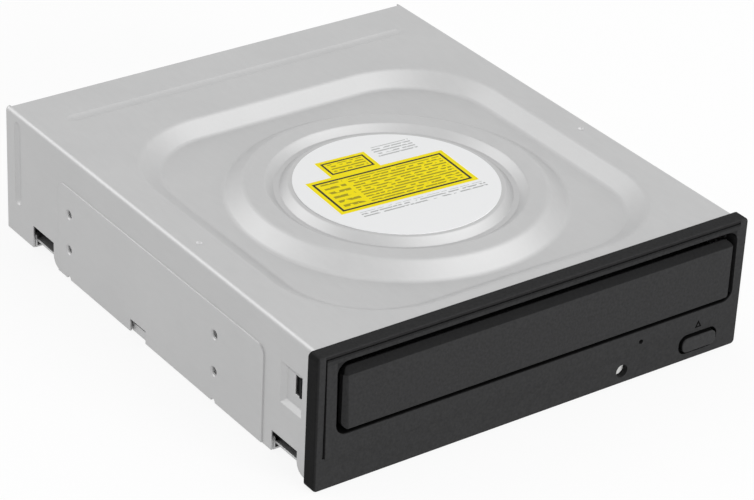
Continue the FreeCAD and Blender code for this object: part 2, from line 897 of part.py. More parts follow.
# Bezel: a shallow shell with a sloped front panel, the tray mouth and two latch arms
def make_bezel():
    body = Moulding("bezel_shell")
    body.pad("XZ", (face, seat), rounded((-brim, brim), (as_size(0), d.bezel_height), d.bezel_corner))
    body.round(d.bezel_edge, lambda e: abs(e.BoundBox.YMax - num(face)) < 1e-4)
    wedge_half = brim - d.wedge_side
    body.pad("YZ", (-wedge_half, wedge_half), path(
        (face - d.wedge_rise, d.wedge_low), (face + 1, d.wedge_low),
        (face + 1, d.wedge_high), (face, d.wedge_high),
    ))
    groove = d.panel_groove
    body.pocket("XZ", (face - 2, face + groove), path(
        (-wedge_half - groove, d.wedge_low), (-wedge_half, d.wedge_low),
        (-wedge_half, d.panel_groove_top - groove), (wedge_half, d.panel_groove_top - groove),
        (wedge_half, d.panel_groove_top), (-wedge_half - groove, d.panel_groove_top),
    ))
    mouth = rounded(mouth_span, (d.mouth_bottom, d.mouth_top), d.mouth_corner)
    body.pocket("XZ", (face - 2, seat + 1), mouth)
    rib = 1.2
    bay = brim - d.bezel_wall
    bays = ((-bay, -40.0), (-40.0 + rib, 10.0), (10.0 + rib, bay))
    body.pocket("XZ", (face + d.bezel_skin, seat + 1), *[
        rect((as_size(low), as_size(high)), (as_size(1.6), d.mouth_bottom - 1.8)) for low, high in bays
    ])
    gap = d.button_gap
    button = rounded(
        (button_x - d.button_width / 2 - gap, button_x + d.button_width / 2 + gap),
        (d.button_z - d.button_height / 2 - gap, d.button_z + d.button_height / 2 + gap),
        d.button_corner + gap,
    )
    body.pocket("XZ", (face - 2, seat), circle(light_x, d.light_z, d.light_radius),
                circle(pinhole_x, d.pinhole_z, d.pinhole_radius), button)
    out = shell - d.sheet - d.latch_pan_depth - 0.3
    root = out - d.latch_thick
    low = d.window_bottom + 0.3
    high = d.window_top
    hook_front = seat + d.window_low + 0.4
    tip = seat + d.latch_reach
    for side in (-1, 1):
        body.pad("XY", (low, high), path(
            (root * side, seat - 1.8), ((out + 1.5) * side, seat - 1.8), ((out + 1.5) * side, seat),
            (out * side, seat), (out * side, hook_front), ((out + 1.5) * side, hook_front),
            ((out + 1.5) * side, hook_front + 0.8), (out * side, hook_front + 2.6),
            (out * side, tip), (root * side, tip),
        ))
    return body.body


node("front_bezel", make_bezel())


# Tray door: its front follows the bezel's slope, with a chamfer along the top
def make_door():
    back = face - d.wedge_rise + 0.3 + d.door_thick
    slope = d.wedge_rise / (d.wedge_high - d.wedge_low)
    foot = face - d.wedge_rise + slope * (d.door_bottom - d.wedge_low)
    brow_z = d.door_top - d.door_chamfer
    brow = face - d.wedge_rise + slope * (brow_z - d.wedge_low)
    plate = Moulding("door_plate")
    plate.pad("YZ", door_span, path(
        (foot + 0.4, d.door_bottom), (back, d.door_bottom), (back, d.door_top),
        (brow + d.door_fallback, d.door_top), (brow, brow_z), (foot, d.door_bottom + 0.4),
    ))
    limit = Moulding("door_outline")
    limit.pad("XZ", (face - 3, seat), rounded(door_span, (d.door_bottom, d.door_top), d.door_corner))
    left, right = door_span
    ends = Moulding("door_ends")
    ends.pad("XY", (d.door_bottom - 1, d.door_top + 1), path(
        (left, back), (left, foot + d.door_left_fallback), (left + d.door_left_chamfer, foot),
        (right - d.door_right_chamfer, foot), (right, foot + d.door_right_chamfer), (right, back),
    ))
    door = doc.addObject("Part::MultiCommon", "Door")
    door.Shapes = [plate.body, limit.body, ends.body]
    hooks = []
    for x in (3.5 - tray_half, as_size(6.0), as_size(44.0)):
        hooks.append(box((x - 3, x + 3), (back, seat + 3.5), (d.tray_under - 2.2, d.tray_under)))
    return join(door, *hooks)


door_back = face - d.wedge_rise + 0.3 + d.door_thick
node("tray_door", make_door())


# Eject button with its flange and stem, the light guide, and the switch and light behind them
def make_button():
    front = face - d.button_proud
    left = button_x - d.button_width / 2
    right = button_x + d.button_width / 2
    low = d.button_z - d.button_height / 2
    high = d.button_z + d.button_height / 2
    behind = face + d.bezel_skin + 0.05
    body = Moulding("button_cap")
    body.pad("XZ", (front, behind + 1), rounded((left, right), (low, high), d.button_corner))
    body.round(0.35, lambda e: abs(e.BoundBox.YMax - num(front)) < 1e-4)
    flange = rounded((left - 1.5, right + 1.5), (low - 1.2, high + 1.2), d.button_corner)
    body.pad("XZ", (behind, behind + 1), flange)
    body.pad("XZ", (behind, seat + 0.9), circle(button_x, d.button_z, as_size(1.8)))
    return body.body


node("eject_button", make_button())
node("light_guide", join(
    cyl("Y", (light_x, d.light_z), (face + d.light_recess, seat + 1.2), d.light_radius - 0.15),
    cyl("Y", (light_x, d.light_z), (face + d.bezel_skin, face + d.bezel_skin + 1), d.light_radius + 0.5),
))
board_high = d.board_low + d.board_thick
node("eject_switch", join(
    box((button_x - 3, button_x + 3), (seat + 3.6, seat + 7.6), (board_high, board_high + 5)),
    cyl("Y", (button_x, d.button_z), (seat + 2.2, seat + 3.6), 1.4),
))
node("status_light", box(
    (light_x - 1.5, light_x + 1.5), (seat + 2.5, seat + 4.6), (board_high, board_high + 3)))


# Toothed outlines
def tooth_points(count, phase, slack):
    """Corner points of a spur gear with short involute teeth."""
    m = num(d.tooth_module)
    pitch = m * count / 2.0
    base = pitch * math.cos(math.radians(20))
    tip = pitch + 0.85 * m
    root = pitch - 1.15 * m
    half_angle = math.pi / (2 * count) - slack / (2 * pitch)
    involute = math.tan(math.radians(20)) - math.radians(20)
    flank = []
    low = max(base, root)
    for step in range(4):
        radius = low + (tip - low) * step / 3.0
        lean = math.acos(min(1.0, base / radius))
        flank.append((radius, half_angle + involute - (math.tan(lean) - lean)))
    if root < base:
        flank.insert(0, (root, flank[0][1]))
    points = []
    for k in range(int(count)):
        middle = phase + 2 * math.pi * k / count
        for radius, angle in flank:
            points.append(V(radius * math.cos(middle - angle), radius * math.sin(middle - angle), 0))
        for radius, angle in reversed(flank):
            points.append(V(radius * math.cos(middle + angle), radius * math.sin(middle + angle), 0))
    return points


def toothed(count, phase, span, x, y):
    points = tooth_points(count, phase, 0.14)
    face_of = Part.Face(Part.makePolygon(points + points[:1]))
    item = doc.addObject("Part::Feature", "Teeth")
    item.Shape = face_of.extrude(V(0, 0, num(span[1] - span[0])))
    place(item, x, y, span[0])
    return item


gear_pitch = d.tooth_module * d.tray_gear_teeth / 2
pinion_pitch = d.tooth_module * d.pinion_teeth / 2
gear_x = gear_pitch - rack_line
gear_y = seat + d.gear_setback
pulley_x = gear_x + gear_pitch + pinion_pitch
motor_y = seat + d.motor_setback


# Disc tray: deck with two disc recesses, the reading slot, side rails and the rack underneath
def make_tray():
    front = door_back
    back = tray_back
    body = Moulding("tray_deck")
    body.pad("XY", (d.tray_under, d.deck_top), rect((-tray_half, tray_half), (front, back)))
    rails = (seat + 1.5, back)
    body.pad("XY", (d.rail_bottom, d.rail_top), rect((-rail_half, -tray_half), rails),
             rect((tray_half, rail_half), rails))
    body.pocket("XY", (d.disc_floor, d.deck_top + 1), circle(as_size(0), hub, d.disc_radius))
    body.pocket("XY", (d.small_floor, d.disc_floor + 1), circle(as_size(0), hub, d.small_radius))
    s = d.slot_half
    a = d.slot_front_round
    b = d.slot_rear_round
    low = hub - d.slot_front
    high = hub + d.slot_rear
    body.pocket("XY", (d.tray_under - 1, d.deck_top + 1), path(
        (-s + a, low), (s - a, low, a, 1), (s, low + a), (s, high - b, b, 1),
        (s - b, high), (-s + b, high, b, 1), (-s, high - b), (-s, low + a, a, 1),
    ))
    relief = (high + 1.5, back - 4)
    body.pocket("XY", (d.tray_under - 1, d.tray_under + 2.4), rect((as_size(-46.0), as_size(-4.0)), relief),
                rect((as_size(4.0), tray_half - 4.5), relief))
    pitch = math.pi * num(d.tooth_module)
    m = num(d.tooth_module)
    line = -num(rack_line)
    first = num(gear_y) - 4 * pitch
    last = num(tray_back) - 0.8
    tilt = math.tan(math.radians(20))
    wide = pitch / 4 - 0.07
    points = [V(line - 4.2, num(seat) + 4, 0)]
    points.append(V(line - 1.15 * m, num(seat) + 4, 0))
    spot = first - pitch / 2
    while spot + pitch / 2 < last:
        root = wide + 1.15 * m * tilt
        tip = wide - 0.85 * m * tilt
        points += [V(line - 1.15 * m, spot - root, 0), V(line + 0.85 * m, spot - tip, 0)]
        points += [V(line + 0.85 * m, spot + tip, 0), V(line - 1.15 * m, spot + root, 0)]
        spot += pitch
    points += [V(line - 1.15 * m, last, 0), V(line - 4.2, last, 0)]
    rack = doc.addObject("Part::Feature", "Rack")
    rack.Shape = Part.Face(Part.makePolygon(points + points[:1])).extrude(
        V(0, 0, num(d.tray_under - d.rail_bottom)))
    bind(rack, "Placement.Base.z", d.rail_bottom)
    return join(body.body, rack)


node("disc_tray", make_tray())


def board_screw_circles(radius):
    return [circle(as_size(x), board_screw_y, as_size(radius)) for x in BOARD_SCREWS]


# Main frame: side walls with tray ledges, the front shelf of the loading drive, the rear beam with pivots
def make_frame():
    body = Moulding("frame_walls")
    front = seat + d.wall_front
    back = rear - d.wall_rear_inset
    beam = back - d.beam_depth
    shelf = (seat + d.shelf_front, seat + d.shelf_rear)
    body.pad("XY", (d.shelf_low, d.shelf_high), rect((-wall_in, wall_in), shelf))
    walls = (rect((-wall_out, -wall_in), (front, back)), rect((wall_in, wall_out), (front, back)))
    body.pad("XY", (d.wall_low, d.wall_high), *walls)
    ledge_in = wall_in - d.ledge_width
    body.pad("XY", (d.ledge_low, d.ledge_high), rect((-wall_in, -ledge_in), (front, back)),
             rect((ledge_in, wall_in), (front, back)))
    body.pad("XY", (d.beam_low, d.ledge_high), rect((-wall_in, wall_in), (beam, back)))
    body.pocket("XY", (d.beam_low - 1, d.plug_high + 0.4), rect(
        (plug_left - 1, plug_right + 1), (rear - d.plug_depth - 0.8, back + 1)))
    ear = (pivot_y - 3.6, beam)
    ear_in = d.ring_half + 0.6
    body.pad("XY", (d.pivot_z - 4, d.pivot_z + 3.6), rect((-ear_in - 3.8, -ear_in), ear),
             rect((ear_in, ear_in + 3.8), ear))
    keeper = (seat + 16, seat + 30)
    body.pad("XY", (d.rail_top + 0.3, d.rail_top + 1.5), rect((-wall_in, d.play - rail_half + 2), keeper),
             rect((rail_half - 2 - d.play, wall_in), keeper))
    base = d.case_base + d.sheet + d.dish_depth
    spots = screw_spots()
    body.pad("XY", (base, d.shelf_low + 0.5), *[circle(x, y, d.post_radius) for x, y in spots])
    hooks = (seat + 31.4, seat + 33.6)
    bars = (rect((as_size(-39.0), as_size(-34.0)), hooks), rect((as_size(4.0), as_size(9.0)), hooks))
    body.pad("XY", (d.shelf_high, d.shelf_high + 3.1), *bars)
    lips = (seat + 31.4, seat + 36)
    body.pad("XY", (d.shelf_high + 1.9, d.shelf_high + 3.1), rect((as_size(-39.0), as_size(-34.0)), lips),
             rect((as_size(4.0), as_size(9.0)), lips))
    body.pad("XY", (d.shelf_high, d.gear_high + 0.5), circle(gear_x, gear_y, d.post_pin),
             circle(pulley_x, gear_y, d.post_pin))
    body.pad("XY", (d.shelf_high, d.pulley_low - 0.1), circle(pulley_x, gear_y, d.post_pin + 1.5))
    body.pad("XY", (d.shelf_high, d.gear_low - 0.1), circle(gear_x, gear_y, d.post_pin + 1.5))
    body.pad("XY", (board_high, d.beam_low), *board_screw_circles(2.6))
    holes = [circle(d.motor_x, motor_y, as_size(3.6))]
    holes += [circle(d.motor_x + x, motor_y, as_size(1.0)) for x in (-8.0, 8.0)]
    slit = (seat + d.shelf_front - 1, seat + d.shelf_rear + 1)
    holes.append(rect((pinhole_x - 1.2, pinhole_x + 1.2), slit))
    body.pocket("XY", (d.shelf_low - 1, d.shelf_high + 1), *holes)
    body.pocket("XY", (base - 1, base + 7.6), *[circle(x, y, d.cover_screw_shank) for x, y in spots])
    body.pocket("XY", (board_high - 1, board_high + 4), *board_screw_circles(1.0))
    body.pocket("XY", (d.wall_high - 5, d.wall_high + 1), *[
        circle(x, hub, as_size(0.95)) for x in (-(wall_in + wall_out) / 2, (wall_in + wall_out) / 2)])
    body.pocket("YZ", (-wall_in, wall_in), circle(pivot_y, d.pivot_z, d.pivot_radius + d.play))
    return body.body


node("main_frame", make_frame())


# Clamp: a bridge over the tray, the floating clamper with its magnet and yoke
def make_bracket():
    low = d.bracket_low
    high = low + d.bracket_thick
    span = (hub - d.bracket_half, hub + d.bracket_half)
    feet = (hub - 6, hub + 6)
    body = Moulding("bridge")
    body.pad("XY", (low, high), rounded((-wall_out, wall_out), span, as_size(4.0)))
    body.pad("XY", (d.wall_high, low), rect((-wall_out, -wall_in), feet), rect((wall_in, wall_out), feet))
    cuts = [circle(as_size(0), hub, d.clamper_hole)]
    for side in (-1, 1):
        x = side * 42.0
        cuts.append(rounded((as_size(x - 13), as_size(x + 13)), (hub - 12, hub + 12), as_size(5.0)))
    body.pocket("XY", (low - 1, high + 1), *cuts)
    mid = (wall_in + wall_out) / 2
    body.pocket("XY", (d.wall_high - 1, high + 1), *[circle(x, hub, as_size(1.2)) for x in (-mid, mid)])
    return body.body


node("clamp_bracket", make_bracket())
bracket_high = d.bracket_low + d.bracket_thick
wall_mid = (wall_in + wall_out) / 2
node("bracket_screws", group(*[
    screw(x, hub, (bracket_high, bracket_high + 1.2), (d.wall_high - 4.5, bracket_high),
          as_size(2.2), as_size(0.95))
    for x in (-wall_mid, wall_mid)
]))

flange_low = bracket_high + 0.05
flange_high = flange_low + d.clamper_flange_thick
clamper = Moulding("clamper_cup")
clamper.turn(path(
    (d.clamper_hollow, d.clamper_low), (d.clamper_radius - 1, d.clamper_low),
    (d.clamper_radius, d.clamper_low + 1), (d.clamper_radius, flange_low),
    (d.clamper_flange, flange_low), (d.clamper_flange, flange_high),
    (d.magnet_outer, flange_high), (d.magnet_outer, d.clamper_low + 1.6),
    (d.magnet_inner, d.clamper_low + 1.6), (d.magnet_inner, flange_high - 1.6),
    (as_size(0), flange_high - 1.6), (as_size(0), flange_high - 2.6), (d.clamper_hollow, flange_high - 2.6),
))
node("clamper", clamper.at(0, hub, 0))
node("clamper_magnet", less(
    cyl("Z", (0, hub), (d.clamper_low + 1.6, flange_high - 1.0), d.magnet_outer - d.glue_line),
    cyl("Z", (0, hub), (d.clamper_low, flange_high), d.magnet_inner + d.glue_line),
))
yoke_span = (flange_high - 1.0, flange_high - 0.2)
node("clamper_yoke", cyl("Z", (0, hub), yoke_span, d.magnet_outer - d.glue_line))


# Loading drive
def hollow_gear(name, teeth, hub_radius, span):
    bore = cyl("Z", (gear_x, gear_y), (span[0] - 1, span[1] + 1), d.post_pin + d.play)
    rings = [cyl("Z", (gear_x, gear_y), (span[0] - 1, span[0] + 1.2), gear_pitch - 2.6),
             cyl("Z", (gear_x, gear_y), (span[1] - 1.2, span[1] + 1), gear_pitch - 2.6)]
    plug = cyl("Z", (gear_x, gear_y), span, hub_radius)
    return node(name, less(join(less(teeth, *rings), plug), bore))


gear_span = (d.gear_low, d.gear_high)
gear_teeth = SIZES["tray_gear_teeth"]
pinion_teeth = SIZES["pinion_teeth"]
hollow_gear("tray_gear", toothed(gear_teeth, math.pi, gear_span, gear_x, gear_y), as_size(4.5), gear_span)


def pulley(name, x, y, groove_radius, low, high, others, bore):
    """A belt pulley with a square groove, joined to what turns with it."""
    mid = (low + high) / 2
    rim = groove_radius + d.belt_thick + 0.4
    body = Moulding(name + "_wheel")
    body.turn(path(
        (as_size(0), low), (rim, low), (rim, mid - d.belt_thick / 2 - 0.45),
        (groove_radius, mid - d.belt_thick / 2 - 0.2), (groove_radius, mid + d.belt_thick / 2 + 0.2),
        (rim, mid + d.belt_thick / 2 + 0.45), (rim, high), (as_size(0), high),
    ))
    return node(name, less(join(body.at(x, y, 0), *others), bore))


# the pinion shows a gap to the tray gear's tooth
step_angle = 2 * math.pi / gear_teeth
off = (0.0 - math.pi) % step_angle
near = -off if off < step_angle / 2 else step_angle - off
pinion_phase = math.pi - near * gear_teeth / pinion_teeth + math.pi / pinion_teeth
pinion_span = (d.pulley_high - 0.2, d.gear_high - 0.4)
pinion = toothed(pinion_teeth, pinion_phase, pinion_span, pulley_x, gear_y)
pulley("pulley_gear", pulley_x, gear_y, d.pulley_radius, d.pulley_low, d.pulley_high, [pinion],
       cyl("Z", (pulley_x, gear_y), (d.pulley_low - 1, d.gear_high + 1), d.post_pin + d.play))
pulley("motor_pulley", d.motor_x, motor_y, d.motor_pulley_radius, d.pulley_low, d.pulley_high, [],
       cyl("Z", (d.motor_x, motor_y), (d.pulley_low - 1, d.pulley_high + 1), 0.75))
node("motor_shaft", cyl("Z", (d.motor_x, motor_y), (d.shelf_low - 2, d.pulley_high + 0.3), 0.75))


def make_belt():
    """A flat loop around the two pulleys, from its outer outline less its inner one."""
    a = V(num(pulley_x), num(gear_y), 0)
    b = V(num(d.motor_x), num(motor_y), 0)
    gap = num(d.play)
    big = num(d.pulley_radius) + gap
    small = num(d.motor_pulley_radius) + gap
    thick = num(d.belt_thick) - gap / 2
    line = b - a
    aim = math.atan2(line.y, line.x)
    spread = math.acos((big - small) / line.Length)

    def loop(extra):
        def spot(c, r, angle):
            return c + V(math.cos(angle), math.sin(angle), 0) * (r + extra)
        a_left = spot(a, big, aim + spread)
        a_right = spot(a, big, aim - spread)
        b_left = spot(b, small, aim + spread)
        b_right = spot(b, small, aim - spread)
        edges = [
            Part.Arc(a_left, spot(a, big, aim + math.pi), a_right).toShape(),
            Part.makeLine(a_right, b_right),
            Part.Arc(b_right, spot(b, small, aim), b_left).toShape(),
            Part.makeLine(b_left, a_left),
        ]
        return Part.Face(Part.Wire(edges))

    high = V(0, 0, num(d.belt_thick))
    item = doc.addObject("Part::Feature", "Loop")
    item.Shape = loop(thick).extrude(high).cut(loop(0.0).extrude(high))
    bind(item, "Placement.Base.z", (d.pulley_low + d.pulley_high) / 2 - d.belt_thick / 2)
    return item


node("drive_belt", make_belt())
can = cyl("Z", (d.motor_x, motor_y), (d.motor_low, d.shelf_low), d.motor_radius)
flat = d.motor_radius * 0.78
can_box = box((d.motor_x - d.motor_radius, d.motor_x + d.motor_radius), (motor_y - flat, motor_y + flat),
              (d.motor_low, d.shelf_low))
motor_can = doc.addObject("Part::MultiCommon", "Can")
motor_can.Shapes = [can, can_box]
boss = cyl("Z", (d.motor_x, motor_y), (d.shelf_low, d.shelf_high - 0.3), 3.4)
taps = [cyl("Z", (d.motor_x + x, motor_y), (d.shelf_low - 2, d.shelf_low + 1), 0.8) for x in (-8.0, 8.0)]
axle = cyl("Z", (d.motor_x, motor_y), (d.shelf_low - 2, d.shelf_high + 1), 0.75 + d.play)
node("loading_motor", less(join(motor_can, boss), axle, *taps))
node("motor_screws", group(*[
    screw(d.motor_x + x, motor_y, (d.shelf_high, d.shelf_high + 1), (d.shelf_low - 1.8, d.shelf_high),
          as_size(1.7), as_size(0.8))
    for x in (-8.0, 8.0)
]))


# Cam slider: an upright plate with two slanted slots, and a foot that runs on the shelf
lever = pivot_y - seat - d.cam_front - d.cam_thick / 2
angle = math.radians(SIZES["lift_angle"])
pin_drop = lever * math.sin(angle)


def make_cam():
    front = seat + d.cam_front
    back = front + d.cam_thick
    body = Moulding("cam_plate")
    body.pad("XY", (d.cam_low, d.cam_high), path(
        (-d.cam_left, front), (d.cam_right - 2, front), (d.cam_right, front + 2),
        (d.cam_right, back), (-d.cam_left, back),
    ))
    foot = (seat + d.shelf_rear - 6.6, front + 1)
    body.pad("XY", (d.shelf_high + 0.1, d.shelf_high + 1.6), rect((-d.cam_left, as_size(14.0)), foot))
    low = d.pivot_z - pin_drop
    high = as_size(d.pivot_z)
    run = d.cam_travel
    lean = math.atan2(num(pin_drop), num(run))
    dx = d.cam_slot_half * math.sin(lean)
    dz = d.cam_slot_half * math.cos(lean)
    for pin in (-d.pin_left, d.pin_right):
        x0 = pin
        x1 = pin - run
        r = d.cam_slot_half
        ex = r * math.cos(lean)
        ez = r * math.sin(lean)
        slot = path(
            (x0 + dx, low + dz), (x1 + dx, high + dz, r, 1), (x1 - ex, high + ez, r, 1),
            (x1 - dx, high - dz), (x0 - dx, low - dz, r, 1), (x0 + ex, low - ez, r, 1),
        )
        body.pocket("XZ", (front - 1, back + 1), slot)
    return body.body


node("cam_slider", make_cam())


# Lift frame and reading deck, drawn level and then lowered about the pivot
LIFTED = []


def deck(name, item):
    LIFTED.append(item)
    return node(name, item)


damper_spots = []
for y in (seat + d.damper_front, rear - d.damper_rear_inset):
    damper_spots.append((-d.damper_x, y))
    damper_spots.append((d.damper_x, y))
plate_high = d.plate_low + d.plate_thick
damper_high = plate_high + (d.plate_low - d.ring_high)


def make_lift():
    body = Moulding("lift_ring")
    front = seat + d.ring_front
    back = rear - d.ring_rear_inset
    outer = rect((-d.ring_half, d.ring_half), (front, back))
    inner = rounded((-d.ring_inner + 2, d.ring_inner + 1.5), (front + 12, back - 8), as_size(4.0))
    body.pad("XY", (d.ring_low, d.ring_high), outer, inner)
    wall = (front + 1, back - 1)
    body.pad("XY", (d.ring_high, d.ring_high + 2), rect((-d.ring_half, -d.ring_half + 1.3), wall),
             rect((d.ring_half - 1.3, d.ring_half), wall))
    lip = rect((as_size(-38.0), as_size(38.0)), (front, front + 1.4))
    body.pad("XY", (d.ring_high, d.ring_high + 2), lip)
    ear = (back - 9, pivot_y + 2.5)
    body.pad("XY", (d.pivot_z - 2.4, d.pivot_z + 2.4), rect((-d.ring_half, -d.ring_half + 1.5), ear),
             rect((d.ring_half - 1.5, d.ring_half), ear))
    stub = (back - 0.8, pivot_y + 2.5)
    body.pad("XY", (d.pivot_z - 2.4, d.pivot_z + 2.4), rect((-d.ring_half + 1.5, -d.ring_half + 4), stub),
             rect((d.ring_half - 4, d.ring_half - 1.5), stub))
    pivot = circle(pivot_y, d.pivot_z, d.pivot_radius)
    body.pad("YZ", (-d.ring_half - 4.2, -d.ring_half), pivot)
    body.pad("YZ", (d.ring_half, d.ring_half + 4.2), pivot)
    body.pad("XZ", (seat + d.cam_front + 0.3, front), circle(-d.pin_left, d.pivot_z, d.pin_radius),
             circle(d.pin_right, d.pivot_z, d.pin_radius))
    bores = [circle(x, y, as_size(1.0)) for x, y in damper_spots]
    body.pocket("XY", (d.ring_low - 1, d.ring_high + 1), *bores)
    return body.body


deck("lift_frame", make_lift())


def make_damper(x, y):
    body = Moulding("grommet")
    waist = d.damper_radius - 1.3
    bore = as_size(1.6)
    body.turn(path(
        (bore, d.ring_high), (d.damper_radius, d.ring_high), (d.damper_radius, d.plate_low),
        (waist, d.plate_low), (waist, plate_high), (d.damper_radius, plate_high),
        (d.damper_radius, damper_high), (bore, damper_high),
    ))
    return body.at(x, y, 0)


deck("rubber_dampers", group(*[make_damper(x, y) for x, y in damper_spots]))


def make_damper_screw(x, y):
    thread = (d.ring_low, d.ring_high)
    head = (damper_high, damper_high + 1.2)
    blank = screw(x, y, head, (d.ring_low, damper_high), as_size(3.0), as_size(1.6))
    return less(blank, less(cyl("Z", (x, y), thread, 1.8), cyl("Z", (x, y), thread, 1.0)))


deck("damper_screws", group(*[make_damper_screw(x, y) for x, y in damper_spots]))
lens_y = hub + d.lens_start
sled_front = lens_y - d.sled_ahead
sled_back = lens_y + d.sled_behind
slot_back = rear - d.sled_rear_inset + 0.4


def make_plate():
    front = seat + d.ring_front + 1.7
    back = rear - d.ring_rear_inset - 0.6
    body = Moulding("deck_sheet")
    outline = rounded((-d.plate_half, d.plate_half), (front, back), as_size(4.0))
    body.pad("XY", (d.plate_low, plate_high), outline)
    motor_side = d.screw_x + d.sled_motor_radius + 0.8
    motor_in = d.screw_x - d.sled_motor_radius - 0.8
    body.pocket("XY", (d.plate_low - 1, plate_high + 1), path(
        (-d.rod_x - 5, sled_front - 0.6), (motor_in, sled_front - 0.6), (motor_in, sled_front - 20),
        (motor_side, sled_front - 20), (motor_side, slot_back), (-d.rod_x - 5, slot_back),
    ))
    waist = d.damper_radius - 1.3
    body.pocket("XY", (d.plate_low - 1, plate_high + 1), circle(as_size(0), hub, d.rotor_radius + 0.8),
                *[circle(x, y, waist + d.glue_line) for x, y in damper_spots])
    holders = []
    for y in ((sled_front - 7, sled_front - 3), (slot_back, slot_back + 3)):
        for x in (-d.rod_x, d.rod_x):
            holders.append(rect((x - 2.6, x + 2.6), y))
    body.pad("XY", (plate_high - 0.5, d.rod_z + 2.4), *holders)
    body.pocket("XZ", (sled_front - 8, slot_back + 4), circle(-d.rod_x, d.rod_z, d.rod_radius),
                circle(d.rod_x, d.rod_z, d.rod_radius))
    return body.body


deck("deck_plate", make_plate())
rod_span = (sled_front - 6.5, slot_back + 2.5)
deck("main_guide_rod", cyl("Y", (-d.rod_x, d.rod_z), rod_span, d.rod_radius))
deck("second_guide_rod", cyl("Y", (d.rod_x, d.rod_z), rod_span, d.rod_radius))
deck("spindle_base", less(
    join(
        box((as_size(-19.0), as_size(19.0)), (hub - 14, hub + 14), (d.plate_low - 1, d.plate_low)),
        cyl("Z", (0, hub), (d.plate_low, d.plate_low + 4.0), 3.2),
        cyl("Z", (0, hub), (d.plate_low + 0.6, d.plate_low + 3.8), 10.6),
    ),
    cyl("Z", (0, hub), (d.plate_low - 0.4, d.plate_low + 5), 1.5 + d.play),
    less(
        cyl("Z", (0, hub), (d.plate_low + 0.01, d.plate_low + 0.6), 12),
        cyl("Z", (0, hub), (d.plate_low, d.plate_low + 1), 3.2),
    ),
))
turntable = Moulding("turntable_rotor")
seat_z = d.disc_seat
can_in = d.rotor_radius - 0.8
turntable.turn(path(
    (as_size(0), d.plate_low - 0.3), (as_size(1.5), d.plate_low - 0.3), (as_size(1.5), d.plate_low + 5.0),
    (can_in, d.plate_low + 5.0), (can_in, d.plate_low + 0.9), (d.rotor_radius, d.plate_low + 0.9),
    (d.rotor_radius, d.plate_low + 6.2), (d.cone_radius, d.plate_low + 6.2), (d.cone_radius, seat_z - 2.2),
    (d.turntable_radius, seat_z - 2.2), (d.turntable_radius, seat_z - 0.5), (d.cone_radius, seat_z - 0.5),
    (d.cone_radius, seat_z + 0.7), (d.cone_radius - 1.2, seat_z + d.cone_rise),
    (as_size(3.0), seat_z + d.cone_rise), (as_size(3.0), seat_z + d.cone_rise - 1.0),
    (as_size(0), seat_z + d.cone_rise - 1.0),
))
deck("turntable", turntable.at(0, hub, 0))
deck("turntable_ring", less(
    cyl("Z", (0, hub), (seat_z - 0.5, seat_z), d.turntable_radius - 0.3),
    cyl("Z", (0, hub), (seat_z - 1, seat_z + 1), d.turntable_radius - 4.0),
))


# Pickup: a cast sled on the rods, driven by the lead screw, with the lens on its holder
def make_sled():
    body = Moulding("sled_casting")
    outline = rounded((-d.sled_half, d.sled_half), (sled_front, sled_back), as_size(3.0))
    body.pad("XY", (d.sled_low, d.sled_high), outline)
    bearing = (d.rod_z - 3.0, d.rod_z + 3.0)
    eyes = (rect((-d.rod_x - 3.2, -d.sled_half + 1), (sled_front + 1.5, sled_front + 6.5)),
            rect((-d.rod_x - 3.2, -d.sled_half + 1), (sled_back - 7, sled_back - 2)))
    body.pad("XY", bearing, *eyes)
    fork = (rect((d.sled_half - 1, d.rod_x + 2.6), (lens_y - 2, lens_y + 5)),)
    body.pad("XY", bearing, *fork)
    run = (sled_front - 1, sled_back + 1)
    body.pocket("XZ", run, circle(-d.rod_x, d.rod_z, d.rod_radius + d.play))
    slack = d.rod_radius + d.play
    body.pocket("XZ", run, rect((d.rod_x - slack, d.rod_x + 4), (d.rod_z - slack, d.rod_z + slack)))
    body.pocket("XY", (d.sled_high - 2.2, d.sled_high + 1), rounded(
        (as_size(-9.0), as_size(9.0)), (lens_y - 6.4, lens_y + 6.4), as_size(1.5)))
    body.pocket("XY", (d.sled_high - 1.2, d.sled_high + 1), rounded(
        (as_size(-17.0), as_size(17.0)), (lens_y + 8, sled_back - 2), as_size(1.5)))
    return body.body


deck("pickup_sled", make_sled())
nut_span = (lens_y - 1.5, lens_y + 4.5)
nut_low = d.screw_z - 3.2
nut_high = d.rod_z - 3.0
deck("sled_nut", less(
    join(
        box((d.sled_half, d.screw_x + 2.8), nut_span, (nut_low, nut_high)),
        box((d.screw_x - 2.8, d.screw_x + 2.8), nut_span, (nut_low, d.screw_z + 3.0)),
    ),
    cyl("Y", (d.screw_x, d.screw_z), (nut_span[0] - 1, nut_span[1] + 1), d.screw_radius + 0.35),
))
magnets = []
for y in ((lens_y - 6.0, lens_y - 4.4), (lens_y + 4.4, lens_y + 6.0)):
    magnets.append(box((as_size(-5.0), as_size(5.0)), y, (d.sled_high - 2.2, d.sled_high + 0.4)))
deck("lens_magnets", group(*magnets))
deck("lens_holder", less(
    box((as_size(-6.0), as_size(6.0)), (lens_y - 3.8, lens_y + 3.8), (d.lens_low - 3.6, d.lens_low)),
    cyl("Z", (0, lens_y), (d.lens_low - 5, d.lens_low + 1), d.lens_radius - 0.4),
))
lens = doc.addObject("Part::MultiCommon", "Lens")
lens.Shapes = [
    cyl("Z", (0, lens_y), (d.lens_low, d.lens_low + 0.7), d.lens_radius),
    ball(0, lens_y, d.lens_low + 0.7 - 4.5, 4.5),
]
deck("objective_lens", lens)
sled_motor_span = (sled_front - 19, sled_front - 8)
screw_end = slot_back - 1.5
socket_span = (sled_motor_span[1] - 2, sled_motor_span[1] + 1)
